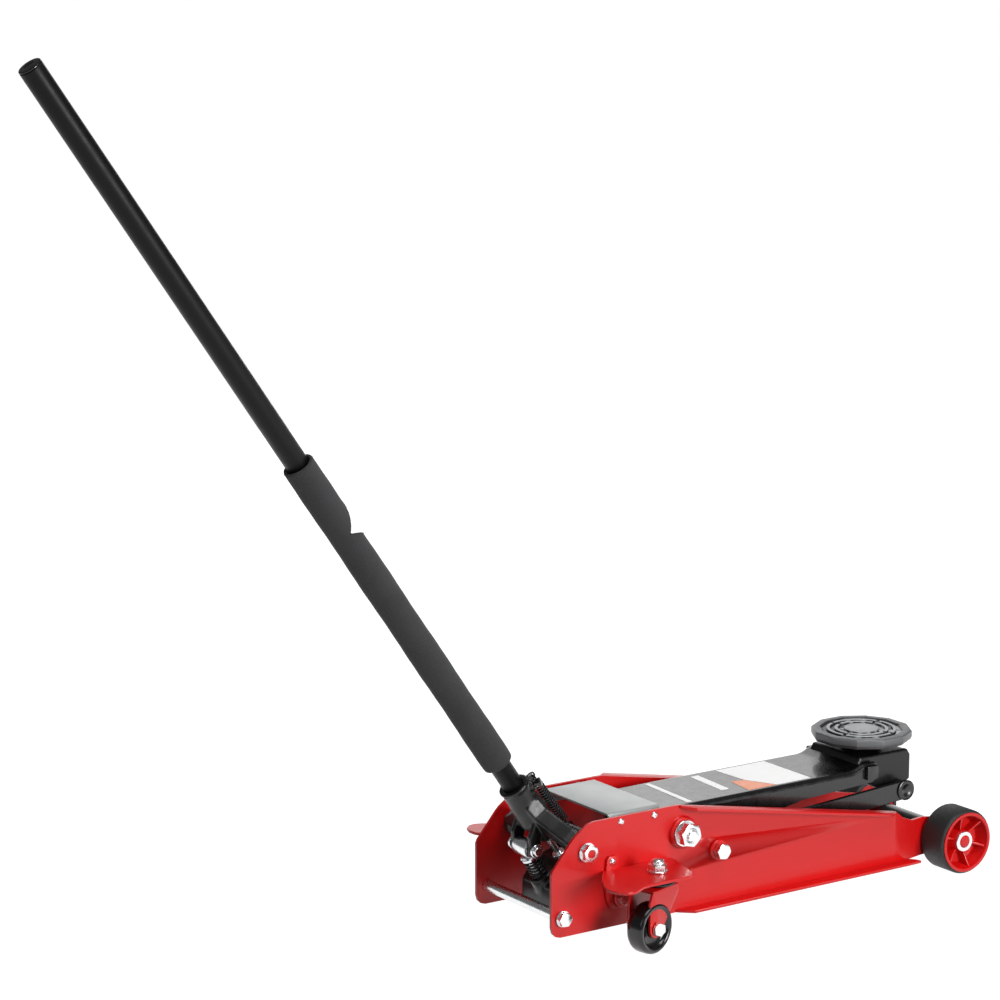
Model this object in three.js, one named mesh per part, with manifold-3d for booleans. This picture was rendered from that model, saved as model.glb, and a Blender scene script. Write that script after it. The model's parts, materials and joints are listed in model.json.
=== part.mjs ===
// Hydraulic floor jack: millimetres, +X towards the saddle, +Y to the left, +Z up, floor at Z = 0.
import * as THREE from "three";
import { mergeVertices } from "three/addons/utils/BufferGeometryUtils.js";
import Module from "manifold-3d";

const wasm = await Module();
wasm.setup();

// ---- driving dimensions (mm) ----
const gap = 0.3; // clearance between pieces that touch or turn in each other

const armHalfWidth = 60;
const armSheet = 5;
const armTop = 155;
const rodSheet = 6;
const rodPlay = 2.5; // lift arm to radius rod
const rodInner = armHalfWidth + rodPlay;
const rodOuter = rodInner + rodSheet;

const plateLength = 570; // flat part of each side plate, rear edge to the front bend
const plateSheet = 4;
const plateBottom = 23;
const plateTop = 167;
const plateFront = 97; // height of the plate's sloping edge at the bend
const slopeStart = 199;
const flangeWidth = 18;
const noseInner = rodOuter + 0.5; // inside face of the plate's front end, where the axle passes
const noseStep = 13.4; // how far the nose is set in
const plateInner = noseInner + noseStep; // frame centre line to the inside face of a side plate
const plateOuter = plateInner + plateSheet;

const frontWheelRadius = 45;
const frontWheelInner = noseInner + plateSheet + 2.2;
const frontWheelOuter = frontWheelInner + 45.8;
const frontAxle = [plateLength + 100, frontWheelRadius];
const noseBendEnd = frontAxle[0] - frontWheelRadius + 5; // the bend ends behind the wheel's rear edge
const noseTip = frontAxle[0] + 23;
const frontAxleRadius = 10;

const mainPivot = [206, 130]; // lift arm shaft, x and z
const rodPivot = [262, 98]; // radius rods' rear bolts
const yokePivot = [54, 129]; // handle yoke's bolts
const tiePivot = [17, 48]; // rear tie rod
const unitBolt = [106, 62]; // bolts that hold the power unit
const frontPivot = [plateLength - 24, 150]; // saddle bracket's pin in the lift arm
const leverLength = 64;
const leverAngle = 26.7; // how far the lever leans back from straight down

const saddleX = frontPivot[0] + 34;
const saddleTop = 194;
const saddleRadius = 69;

const handleLean = 55; // handle's rise above the floor, degrees
const handleEnd = 1236; // yoke pivot to the top of the handle
const lowerTubeRadius = 13.9;
const lowerWall = 2.6;
const upperTubeRadius = lowerTubeRadius + 0.9;
const upperBore = upperTubeRadius - 2.2;
const tubeJoint = 560; // where the upper tube starts, inside the foam
const foamStart = 134;
const foamEnd = 640;
const foamRadius = lowerTubeRadius + 6.7;

const rollerArm = 35; // yoke pivot to pump roller
const rollerDrop = 14; // roller's rest angle below the pivot, degrees
const rollerRadius = 12;
const pumpLean = 30; // pump plunger's lean from vertical, degrees

const casterX = 135; // kingpin
const casterY = plateOuter + 42.6;
const casterTrail = 26;
const casterYaw = 15; // rest swivel, degrees
const casterRadius = 34.5;
const casterHalfWidth = 13;
const mountZ = 2 * casterRadius + 27; // underside of the caster mount plate
const mountSheet = 4;

const fineness = 0.56; // share of each turned piece's facets that is kept

const rad = (degrees) => (degrees * Math.PI) / 180;
const group = new THREE.Group();

// ---- materials ----
const finish = (color, metalness, roughness) => ({ color, metalness, roughness });
const redEnamel = finish(0xc8161d, 0.1, 0.35);
const blackEnamel = finish(0x141414, 0.1, 0.35);
const blackIron = finish(0x1d1d1e, 0.3, 0.6);
const zinc = finish(0xc9ccd0, 0.9, 0.35);
const greyEnamel = finish(0xb4b8ba, 0.4, 0.35);
const tubeBlack = finish(0x18181a, 0.2, 0.5);
const foamGrey = finish(0x3a3b3d, 0, 0.95);
const tyreBlack = finish(0x1a1a1b, 0, 0.75);
const nylonBlack = finish(0x151516, 0, 0.45);
const chromeRod = finish(0xdcdfe2, 1, 0.15);
const springBlack = finish(0x202022, 0.4, 0.45);

// ---- solids ----
// A closed geometry as a manifold solid, turned to face outwards.
function solid(geometry) {
  const g = geometry.clone();
  g.deleteAttribute("normal");
  g.deleteAttribute("uv");
  const merged = mergeVertices(g, 1e-3);
  const p = merged.attributes.position.array;
  const t = new Uint32Array(merged.index.array);
  let volume = 0;
  for (let i = 0; i < t.length; i += 3) {
    const a = new THREE.Vector3().fromArray(p, 3 * t[i]);
    const b = new THREE.Vector3().fromArray(p, 3 * t[i + 1]);
    const c = new THREE.Vector3().fromArray(p, 3 * t[i + 2]);
    volume += a.dot(b.cross(c));
  }
  if (volume < 0) for (let i = 0; i < t.length; i += 3) [t[i + 1], t[i + 2]] = [t[i + 2], t[i + 1]];
  return new wasm.Manifold(
    new wasm.Mesh({ numProp: 3, vertProperties: new Float32Array(p), triVerts: t }),
  );
}

const joined = (first, ...others) => others.reduce((sum, s) => sum.add(s), first);
const cut = (first, ...others) => others.reduce((rest, s) => rest.subtract(s), first);

function shapeOf(outline) {
  return new THREE.Shape(outline.map(([a, b]) => new THREE.Vector2(a, b)));
}

// An outline swept straight: "side" reads [x, z] and runs along Y, "flat" reads [x, y] and runs
// along Z, "cross" reads [y, z] and runs along X.
function prism(view, outline, from, to) {
  const g = new THREE.ExtrudeGeometry(shapeOf(outline), { depth: to - from, bevelEnabled: false });
  if (view === "side") {
    g.rotateX(Math.PI / 2);
    g.translate(0, to, 0);
  } else if (view === "flat") {
    g.translate(0, 0, from);
  } else {
    g.applyMatrix4(new THREE.Matrix4().set(0, 0, 1, from, 1, 0, 0, 0, 0, 1, 0, 0, 0, 0, 0, 1));
  }
  return solid(g);
}

const box = (x0, x1, y0, y1, z0, z1) =>
  prism("flat", [[x0, y0], [x1, y0], [x1, y1], [x0, y1]], z0, z1);

function arc(cx, cy, r, from, to, steps) {
  return Array.from({ length: steps + 1 }, (_, i) => {
    const a = rad(from + ((to - from) * i) / steps);
    return [cx + r * Math.cos(a), cy + r * Math.sin(a)];
  });
}

// A turned solid about an axis through a point: profile of [radius, distance along the axis].
function turned(axis, at, profile, segments = 28) {
  const sides = segments > 12 ? 2 * Math.round(segments * fineness / 2) : segments;
  const g = new THREE.LatheGeometry(profile.map(([r, h]) => new THREE.Vector2(r, h)), sides);
  if (axis === "z") g.rotateX(Math.PI / 2);
  if (axis === "x") g.rotateZ(-Math.PI / 2);
  g.translate(...at);
  return solid(g);
}

const rod = (axis, at, r, from, to, segments = 28) =>
  turned(axis, at, [[0, from], [r, from], [r, to], [0, to]], segments);

// A round bar along Y between two y values, at [x, z].
const barY = ([x, z], r, y0, y1, segments = 28) => rod("y", [x, 0, z], r, y0, y1, segments);

// A hexagon of a given width across flats, along Y, at [x, z].
function hexY([x, z], acrossFlats, y0, y1) {
  return prism("side", arc(x, z, acrossFlats / Math.sqrt(3), 0, 300, 5), y0, y1);
}

const moved = (s, matrix) => s.transform(matrix.clone().elements);
const mirrored = (s) => s.mirror([0, 1, 0]);

function place(name, s, material) {
  const m = s.getMesh();
  const n = m.numProp;
  const v = new Float32Array(m.numVert * 3);
  for (let i = 0; i < m.numVert; i++) v.set(m.vertProperties.subarray(i * n, i * n + 3), i * 3);
  const g = new THREE.BufferGeometry();
  g.setAttribute("position", new THREE.BufferAttribute(v, 3));
  g.setIndex(new THREE.BufferAttribute(m.triVerts, 1));
  const flat = g.toNonIndexed();
  flat.computeVertexNormals();
  const mesh = new THREE.Mesh(flat, new THREE.MeshStandardMaterial(material));
  mesh.name = name;
  group.add(mesh);
}

// The same piece on both sides of the frame; s is the left one.
function placePair(name, s, material) {
  place(name + "_left", s, material);
  place(name + "_right", mirrored(s), material);
}

// ---- side plates ----
const noseSlope = noseStep / (noseBendEnd - plateLength);
const sideOutline = [
  [0, plateBottom + 13], [3.5, plateBottom + 4], [12, plateBottom], [plateLength + 1, plateBottom],
  [plateLength + 1, plateFront], [slopeStart, plateTop], [60, plateTop], [34, plateTop - 18],
  [0, plateTop - 58],
];
const axleHeight = frontAxle[1];
const noseOutline = [
  [plateLength - 1, plateBottom], [noseTip - 22, plateBottom], [noseTip - 7, plateBottom + 7],
  [noseTip, axleHeight], [noseTip - 5, axleHeight + 13], [noseTip - 16, axleHeight + 23],
  [noseBendEnd + 10, axleHeight + 30], [plateLength + 30, axleHeight + 35],
  [plateLength + 14, axleHeight + 41], [plateLength, plateFront], [plateLength - 1, plateFront],
];
const noseStrip = [
  [plateLength - 1, plateInner], [plateLength, plateInner], [noseBendEnd, noseInner],
  [noseTip + 1, noseInner], [noseTip + 1, noseInner + plateSheet],
  [noseBendEnd, noseInner + plateSheet], [plateLength, plateOuter], [plateLength - 1, plateOuter],
];
const topFlange = prism(
  "side",
  [
    [slopeStart, plateTop], [plateLength, plateFront],
    [plateLength, plateFront - plateSheet], [slopeStart, plateTop - plateSheet],
  ],
  plateInner + 1,
  plateOuter + flangeWidth,
).intersect(
  prism("flat", [
    [slopeStart - 1, plateInner], [slopeStart, plateOuter + 1],
    [slopeStart + 17, plateOuter + flangeWidth], [plateLength - 24, plateOuter + flangeWidth],
    [plateLength + 1, plateOuter + 1], [plateLength + 1, plateInner],
  ], plateFront - 17, plateTop + 13),
);
const bottomFlange = prism("flat", [
  [slopeStart - 3, plateInner + 1], [slopeStart - 3, plateOuter + 1],
  [slopeStart + 17, plateOuter + flangeWidth], [plateLength + 12, plateOuter + flangeWidth],
  [plateLength + 33, plateOuter + flangeWidth + 3], [plateLength + 20, plateOuter - 24 * noseSlope - 2],
  [plateLength - 6, plateInner + 1],
], plateBottom, plateBottom + plateSheet);
const bossLength = 8;
const rodBoltRadius = 7;
const yokeBoltRadius = 8;
const unitBoltRadius = 5;
const unitBoss = 12;
const armEnd = armHalfWidth + 0.6; // inside end of the plate's inner boss
let sidePlate = joined(
  prism("side", sideOutline, plateInner, plateOuter),
  prism("side", noseOutline, noseInner - 5, plateOuter + 5).intersect(
    prism("flat", noseStrip, plateBottom - 13, plateFront + 13),
  ),
  topFlange,
  bottomFlange,
  barY(mainPivot, 21, plateOuter - 1, plateOuter + 6),
  barY(mainPivot, 18, armEnd, plateInner + 1),
  barY(rodPivot, 14, plateOuter - 1, plateOuter + bossLength),
  barY(unitBolt, unitBoss, plateOuter - 1, plateOuter + bossLength, 24),
  barY(frontAxle, 16, noseInner - 0.5, noseInner + plateSheet + 1.6),
);
const mainThread = 9;
const drilled = (at, radius, segments) =>
  barY(at, radius + gap, armHalfWidth - 10, plateOuter + 44, segments);
sidePlate = cut(
  sidePlate,
  drilled(mainPivot, mainThread),
  drilled(rodPivot, rodBoltRadius, 24),
  drilled(yokePivot, yokeBoltRadius, 24),
  drilled(tiePivot, unitBoltRadius, 20),
  drilled(unitBolt, unitBoltRadius, 20),
  drilled(frontAxle, frontAxleRadius),
);
placePair("side_plate", sidePlate, redEnamel);

// ---- top cover: folded sheet with four bushes that meet the plates ----
const coverRear = 98;
const coverFront = 179;
const coverHalf = plateInner - 8.7;
const coverZ = plateTop + 1;
const coverSheet = 3;
const coverSkirt = 20;
const coverBushes = [coverRear + 10, coverFront - 18].map((x) =>
  barY([x, coverZ - 10], 7, coverHalf - 2, plateInner - gap, 20));
const coverSkin = cut(
  box(coverRear, coverFront, -coverHalf, coverHalf, coverZ - coverSkirt, coverZ),
  box(
    coverRear - 1, coverFront + 1, coverSheet - coverHalf, coverHalf - coverSheet,
    coverZ - coverSkirt - 1, coverZ - coverSheet,
  ),
);
place("top_cover", joined(coverSkin, ...coverBushes, ...coverBushes.map(mirrored)), greyEnamel);

// ---- rear tie rod and its bolts ----
const tieBoltRadius = 4;
place(
  "rear_tie_rod",
  cut(
    barY(tiePivot, 7.5, gap - plateInner, plateInner - gap),
    barY(tiePivot, tieBoltRadius + gap, plateInner - 22, plateInner + 5, 20),
    barY(tiePivot, tieBoltRadius + gap, -plateInner - 5, 22 - plateInner, 20),
  ),
  zinc,
);
placePair(
  "rear_tie_bolt",
  joined(
    barY(tiePivot, tieBoltRadius, plateInner - 20, plateOuter + 1, 20),
    barY(tiePivot, 10.5, plateOuter + gap, plateOuter + 2.3, 24),
    hexY(tiePivot, 17, plateOuter + 2, plateOuter + 9),
  ),
  zinc,
);

// ---- front axle, spacer tube and retaining rings ----
const axleCentre = [frontAxle[0], 0, frontAxle[1]];
const hubEnd = frontWheelOuter - 8.6;
const axleStep = hubEnd + 0.1;
const axleEnd = hubEnd + 4.6;
const axleTail = frontAxleRadius - 1.5;
place(
  "front_axle",
  turned("y", axleCentre, [
    [0, -axleEnd], [axleTail - 2, -axleEnd], [axleTail, 1.5 - axleEnd], [axleTail, -axleStep],
    [frontAxleRadius, -axleStep], [frontAxleRadius, axleStep], [axleTail, axleStep],
    [axleTail, axleEnd - 1.5], [axleTail - 2, axleEnd], [0, axleEnd],
  ]),
  redEnamel,
);
place(
  "axle_spacer",
  cut(
    barY(frontAxle, frontAxleRadius + 5, 0.8 - noseInner, noseInner - 0.8),
    barY(frontAxle, frontAxleRadius + gap, -noseInner, noseInner),
  ),
  blackEnamel,
);
placePair(
  "axle_ring",
  turned("y", axleCentre, [
    [axleTail + gap, hubEnd + 0.4], [axleTail + 5.5, hubEnd + 0.4], [axleTail + 5.5, hubEnd + 3.2],
    [axleTail + gap, hubEnd + 3.2], [axleTail + gap, hubEnd + 0.4],
  ]),
  zinc,
);

// ---- front wheels: ribbed hub and solid tyre ----
const wheelMid = (frontWheelInner + frontWheelOuter) / 2;
const wheelFacets = 48;
const rimInner = frontWheelRadius - 7; // where the tyre sits on the hub
const rimLip = frontWheelRadius - 3.6;
const hubStart = frontWheelInner + 1;
const hubBore = frontAxleRadius + gap;
const hubShell = turned("y", axleCentre, [
  [hubBore, hubStart], [16, hubStart], [17, wheelMid - 4], [rimInner - 4, wheelMid - 4],
  [rimInner - 4, hubStart + 1], [rimInner - gap, hubStart + 1], [rimInner - gap, frontWheelOuter - 1.6],
  [rimLip, frontWheelOuter - 1.6], [rimLip, frontWheelOuter], [rimInner - 1, frontWheelOuter],
  [rimInner - 4.5, wheelMid + 3], [17, wheelMid + 1], [15, hubEnd], [hubBore, hubEnd],
  [hubBore, hubStart],
], wheelFacets);
const ribOutline = [
  [14, wheelMid], [rimInner - 1.5, wheelMid], [rimInner - 1.5, frontWheelOuter - 3], [14, hubEnd - 2.4],
];
const ribHalf = 1.5;
const ribs = [18, 78, 138, 198, 258, 318].map((a) => moved(
  prism("flat", ribOutline, -ribHalf, ribHalf),
  new THREE.Matrix4()
    .makeTranslation(...axleCentre)
    .multiply(new THREE.Matrix4().makeRotationY(rad(a))),
));
placePair(
  "front_hub",
  cut(joined(hubShell, ...ribs), barY(frontAxle, hubBore, noseInner, axleEnd + 10)),
  redEnamel,
);
placePair(
  "front_tyre",
  turned("y", axleCentre, [
    [rimInner, frontWheelInner], [frontWheelRadius - 2.5, frontWheelInner],
    [frontWheelRadius, frontWheelInner + 2.5], [frontWheelRadius, frontWheelOuter - 4.5],
    [frontWheelRadius - 2, frontWheelOuter - 2.2],
    [rimInner, frontWheelOuter - 2.2], [rimInner, frontWheelInner],
  ], wheelFacets),
  tyreBlack,
);

// ---- main pivot shaft and nuts ----
const shaftRadius = 12;
const shaftEnd = plateOuter + 23.6;
place(
  "main_pivot_shaft",
  turned("y", [mainPivot[0], 0, mainPivot[1]], [
    [0, -shaftEnd], [mainThread - 2.5, -shaftEnd], [mainThread, 2.5 - shaftEnd],
    [mainThread, -armHalfWidth], [shaftRadius, -armHalfWidth], [shaftRadius, armHalfWidth],
    [mainThread, armHalfWidth], [mainThread, shaftEnd - 2.5], [mainThread - 2.5, shaftEnd], [0, shaftEnd],
  ]),
  zinc,
);
const nutStart = plateOuter + 6 + gap;
placePair(
  "main_pivot_nut",
  cut(
    joined(
      barY(mainPivot, 17.5, nutStart, nutStart + 2.5),
      hexY(mainPivot, 28, nutStart + 2, nutStart + 16),
    ),
    barY(mainPivot, mainThread + gap, plateInner, shaftEnd + 20),
  ),
  zinc,
);

// ---- radius rods' rear bolts, yoke bolts, power unit bolts ----
placePair(
  "radius_rod_bolt",
  joined(
    barY(rodPivot, rodBoltRadius, rodInner - gap, plateOuter + bossLength + 1, 24),
    barY(rodPivot, 9, armHalfWidth + 0.8, rodInner - gap, 24),
    barY(rodPivot, 10.5, rodOuter + gap, plateInner - gap, 24),
    hexY(rodPivot, 19, plateOuter + bossLength + gap, plateOuter + bossLength + 11),
  ),
  zinc,
);
const eyeOuter = plateInner - 4.4; // yoke's eyes, inside the plates
const eyeInner = eyeOuter - 14;
placePair(
  "yoke_bolt",
  joined(
    barY(yokePivot, yokeBoltRadius, eyeInner - 2, plateOuter + 1, 24),
    barY(yokePivot, 12.5, plateOuter + gap, plateOuter + 2.5, 24),
    hexY(yokePivot, 20, plateOuter + 2, plateOuter + 12),
  ),
  zinc,
);
placePair(
  "power_unit_bolt",
  joined(
    barY(unitBolt, unitBoltRadius, plateInner - 22, plateOuter + bossLength + 1, 20),
    hexY(unitBolt, 16, plateOuter + bossLength + gap, plateOuter + bossLength + 9),
  ),
  zinc,
);

// ---- spring anchor rod, across the frame under the cover's rear edge ----
const collarRadius = lowerTubeRadius + 8.1;
const anchorLocal = [collarRadius + 9.866, -13.768]; // across and along the handle axis at rest
const anchorRadius = 4.5;
const restTurn = rad(90 - handleLean);
const anchorAt = [
  yokePivot[0] + anchorLocal[0] * Math.cos(restTurn) - anchorLocal[1] * Math.sin(restTurn),
  yokePivot[1] + anchorLocal[0] * Math.sin(restTurn) + anchorLocal[1] * Math.cos(restTurn),
];
place("spring_anchor_rod", barY(anchorAt, anchorRadius, gap - plateInner, plateInner - gap, 20), zinc);

// ---- power unit: block, reservoir, filler plug ----
// Pump axis: p is the distance along it from the point level with the roller's mid-stroke.
const pumpTurn = new THREE.Matrix4()
  .makeTranslation(
    yokePivot[0] - rollerArm * Math.cos(rad(pumpLean)),
    0,
    yokePivot[1] - rollerArm * Math.sin(rad(pumpLean)),
  )
  .multiply(new THREE.Matrix4().makeRotationY(rad(180 - pumpLean)));
const rollerPast = rollerArm * Math.sin(rad(rollerDrop - pumpLean)); // roller's rest place on that axis
const plungerTop = rollerPast + rollerRadius + 0.6;
const leverPin = [
  mainPivot[0] - leverLength * Math.sin(rad(leverAngle)),
  mainPivot[1] - leverLength * Math.cos(rad(leverAngle)),
];
const ramZ = leverPin[1] + 0.175;
const ramRadius = 14;
const ramStart = 93;
const ramLowering = 8.5; // how far the ram goes back as the arm is lowered from rest
const blockEnd = 112;
const unitHalf = 38;
const onPump = (s) => moved(s, pumpTurn);
const plungerRadius = 7;
const stemRadius = 6;
const stemLength = 50;
const fillerX = 100;
const fillerRadius = 4;
let pumpBlock = joined(
  prism("side", [
    [40, 32], [48, 28], [blockEnd, 28], [blockEnd, 100], [96, 104], [70, 94], [48, 78], [40, 66],
  ], -unitHalf, unitHalf),
  onPump(rod("z", [0, 0, 0], 15, 36, 60)),
  barY(unitBolt, 14, gap - plateInner, plateInner - gap),
  rod("x", [0, 0, ramZ], 30, 100, blockEnd + 8, 36),
);
const valveAxis = new THREE.Matrix4()
  .makeTranslation(yokePivot[0], 0, yokePivot[1])
  .multiply(new THREE.Matrix4().makeRotationY(rad(handleLean - 90)));
const onHandle = (s) => moved(s, valveAxis);
pumpBlock = cut(
  pumpBlock,
  onPump(rod("z", [0, 0, 0], plungerRadius + gap, 20, 76, 24)),
  onHandle(rod("z", [0, 0, 0], stemRadius + gap, -stemLength - 1, 10, 24)),
  barY(unitBolt, unitBoltRadius + gap, plateInner - 24, plateInner + 5, 20),
  barY(unitBolt, unitBoltRadius + gap, -plateInner - 5, 24 - plateInner, 20),
  rod("x", [0, 0, ramZ], ramRadius + gap, ramStart - ramLowering - 1, blockEnd + 28, 28),
  rod("z", [fillerX, 0, 0], fillerRadius + gap, 92, 120, 20),
);
place("pump_block", pumpBlock, blackIron);
const reservoirEnd = 148;
place(
  "reservoir",
  turned("x", [0, 0, ramZ], [
    [ramRadius + gap, blockEnd + 8 + gap], [34, blockEnd + 8 + gap], [36, blockEnd + 10],
    [36, reservoirEnd - 3], [33, reservoirEnd], [ramRadius + gap, reservoirEnd],
    [ramRadius + gap, blockEnd + 8 + gap],
  ], 36),
  redEnamel,
);
place(
  "filler_plug",
  joined(
    rod("z", [fillerX, 0, 0], fillerRadius, 94, 106, 20),
    rod("z", [fillerX, 0, 0], fillerRadius + 3, 104.6, 108.5, 20),
  ),
  zinc,
);

// ---- release valve stem, ball end at the yoke pivot ----
const ballRadius = 7;
const ball = arc(0, 0, ballRadius, -60, 90, 6).map(([r, h]) => [Math.max(r, 0), h]);
place(
  "release_stem",
  onHandle(turned("z", [0, 0, 0], [
    [0, -stemLength], [stemRadius, -stemLength], [stemRadius, -34], [8.5, -34], [8.5, -30], [4, -30],
    [4, -6.5], ...ball.slice(1, -1), [0, ballRadius],
  ], 24)),
  zinc,
);

// ---- pump plunger and its spring ----
place(
  "pump_plunger",
  onPump(turned("z", [0, 0, 0], [
    [0, plungerTop], [12.5, plungerTop], [12.5, plungerTop + 5], [plungerRadius, plungerTop + 5],
    [plungerRadius, 48], [0, 48],
  ], 24)),
  chromeRod,
);

// A coil spring along +Z with its ends closed, wire as a polygon of few sides.
function coil(radius, wire, from, to, turns, steps = 10) {
  const points = [];
  const count = Math.round(turns * steps);
  for (let i = 0; i <= count; i++) {
    const a = (i / steps) * 2 * Math.PI;
    const rise = ((to - from - 2 * wire) * i) / count;
    points.push([radius * Math.cos(a), radius * Math.sin(a), from + wire + rise]);
  }
  const sides = 5;
  const vertices = [];
  const faces = [];
  points.forEach(([x, y, z]) => {
    const out = new THREE.Vector3(x, y, 0).normalize();
    for (let k = 0; k < sides; k++) {
      const b = (k / sides) * 2 * Math.PI;
      vertices.push(
        x + wire * Math.cos(b) * out.x,
        y + wire * Math.cos(b) * out.y,
        z + wire * Math.sin(b),
      );
    }
  });
  for (let i = 0; i < points.length - 1; i++) {
    for (let k = 0; k < sides; k++) {
      const a = i * sides + k;
      const b = i * sides + ((k + 1) % sides);
      faces.push(a, a + sides, b, b, a + sides, b + sides);
    }
  }
  const last = (points.length - 1) * sides;
  for (let k = 1; k < sides - 1; k++) {
    faces.push(0, k, k + 1);
    faces.push(last, last + k + 1, last + k);
  }
  const g = new THREE.BufferGeometry();
  g.setAttribute("position", new THREE.BufferAttribute(new Float32Array(vertices), 3));
  g.setIndex(faces);
  return solid(g);
}
place("plunger_spring", onPump(coil(10, 1.4, plungerTop + 5.4, 35.6, 5)), springBlack);

// ---- handle yoke: collar, forked arms, roller lugs (built upright on the handle axis) ----
const rollerLocal = [
  -rollerArm * Math.cos(rad(rollerDrop)) * Math.sin(rad(handleLean)) -
    rollerArm * Math.sin(rad(rollerDrop)) * Math.cos(rad(handleLean)),
  rollerArm * Math.cos(rad(rollerDrop)) * Math.cos(rad(handleLean)) -
    rollerArm * Math.sin(rad(rollerDrop)) * Math.sin(rad(handleLean)),
];
const collarTop = 94;
const collarNeck = collarRadius - 2.6;
const springTop = new THREE.Vector3(collarRadius + 7, 0, 83);
const pinReach = 30; // roller pin's half length
const rollerHalf = 14.4;
const rollerPinRadius = 6;
const clampRadius = 4;
const clampReach = lowerTubeRadius + 20.1;
const yokeWeb = prism("cross", [
  [-20, 66], [-26, 48], [-66, 24], [-eyeOuter, 12], [-eyeOuter, -4], [-eyeInner, -4], [-eyeInner, 2],
  [-34, 18], [-24, 22], [24, 22], [34, 18], [eyeInner, 2], [eyeInner, -4], [eyeOuter, -4],
  [eyeOuter, 12], [66, 24], [26, 48], [20, 66],
], -12, 12);
const lugOutline = [
  [-11, 44], [-11, 23], ...arc(rollerLocal[0], rollerLocal[1], 9, -80, -250, 8), [-30, 32],
];
const lug = prism("side", lugOutline, rollerHalf + 0.6, rollerHalf + 8.6);
const clampDirection = new THREE.Matrix4()
  .makeTranslation(0, 0, 82)
  .multiply(new THREE.Matrix4().makeRotationZ(rad(-41)));
let yoke = joined(
  yokeWeb,
  turned("z", [0, 0, 0], [
    [0, 30], [collarRadius, 30], [collarRadius - 1, 60], [collarNeck, 72], [collarNeck, collarTop - 4],
    [collarRadius - 1, collarTop - 3], [collarRadius - 1, collarTop], [0, collarTop],
  ], 32),
  barY([0, 0], 17, eyeInner, eyeOuter, 32),
  barY([0, 0], 17, -eyeOuter, -eyeInner, 32),
  lug,
  mirrored(lug),
  moved(rod("x", [0, 0, 0], 8, 12, clampReach - 9, 20), clampDirection),
  prism("side", [
    [12, 72], [springTop.x + 1, 77], [springTop.x + 5, 80], [springTop.x + 5, 86],
    [springTop.x + 1, 89], [12, 90],
  ], -2, 2),
);
yoke = cut(
  yoke,
  rod("z", [0, 0, 0], lowerTubeRadius + gap + 0.2, -20, 120, 32),
  barY([0, 0], yokeBoltRadius + gap, -plateOuter, plateOuter, 24),
  barY(rollerLocal, rollerPinRadius + gap, -40, 40, 24),
  moved(rod("x", [0, 0, 0], clampRadius + gap, 0, 60, 20), clampDirection),
  barY([springTop.x, springTop.z], 2.9, -10, 10, 16),
);
place("handle_yoke", onHandle(yoke), blackIron);
place(
  "clamp_screw",
  onHandle(moved(
    joined(
      rod("x", [0, 0, 0], clampRadius, lowerTubeRadius + gap, clampReach - 4, 20),
      rod("x", [0, 0, 0], clampRadius + 3, clampReach - 5, clampReach, 6),
    ),
    clampDirection,
  )),
  blackEnamel,
);
const rollerShift = new THREE.Matrix4().makeTranslation(rollerLocal[0], 0, rollerLocal[1]);
const rollerAt = (s) => onHandle(moved(s, rollerShift));
const pinCollar = barY([0, 0], rollerPinRadius + 3, rollerHalf + 9, rollerHalf + 12.6, 24);
place(
  "roller_pin",
  rollerAt(joined(barY([0, 0], rollerPinRadius, -pinReach, pinReach, 24), pinCollar, mirrored(pinCollar))),
  zinc,
);
place(
  "pump_roller",
  rollerAt(turned("y", [0, 0, 0], [
    [rollerPinRadius + gap, -rollerHalf], [rollerRadius - 1, -rollerHalf], [rollerRadius, 1.4 - rollerHalf],
    [rollerRadius, rollerHalf - 1.4], [rollerRadius - 1, rollerHalf], [rollerPinRadius + gap, rollerHalf],
    [rollerPinRadius + gap, -rollerHalf],
  ], 32)),
  zinc,
);

// ---- handle return spring, from the collar's lug to the anchor rod ----
const springDirection = new THREE.Vector3(anchorLocal[0], 0, anchorLocal[1]).sub(springTop);
const springLength = springDirection.length();
const springTurn = new THREE.Matrix4().makeTranslation(springTop.x, 0, springTop.z).multiply(
  new THREE.Matrix4().makeRotationY(Math.atan2(springDirection.x, springDirection.z)),
);
const coilFrom = 13;
const coilTo = springLength - 11;
const coilRadius = 5;
const springCoil = coil(coilRadius, 1.4, coilFrom, coilTo, 17, 8);
const hookWire = 1.3;
// An end loop of the wire, turned to pass through the collar's lug or round the anchor rod.
const loop = (at, radius, round) => {
  const g = new THREE.TorusGeometry(radius, hookWire, 5, 14);
  if (round) g.rotateX(Math.PI / 2);
  else g.rotateY(Math.PI / 2);
  g.translate(0, 0, at);
  return solid(g);
};
const link = (z0, z1) => {
  const path = new THREE.LineCurve3(new THREE.Vector3(coilRadius, 0, z0), new THREE.Vector3(0.2, 0, z1));
  const section = shapeOf(arc(0, 0, hookWire, 0, 300, 5));
  const g = new THREE.ExtrudeGeometry(section, { steps: 1, extrudePath: path });
  return solid(g);
};
const springBody = joined(
  springCoil,
  link(coilFrom + 1.2, 9.6),
  loop(5, 5, false),
  link(coilTo - 1.2, springLength - 6.2),
  loop(springLength, 6.3, true),
);
place("handle_spring", onHandle(moved(springBody, springTurn)), springBlack);

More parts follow.
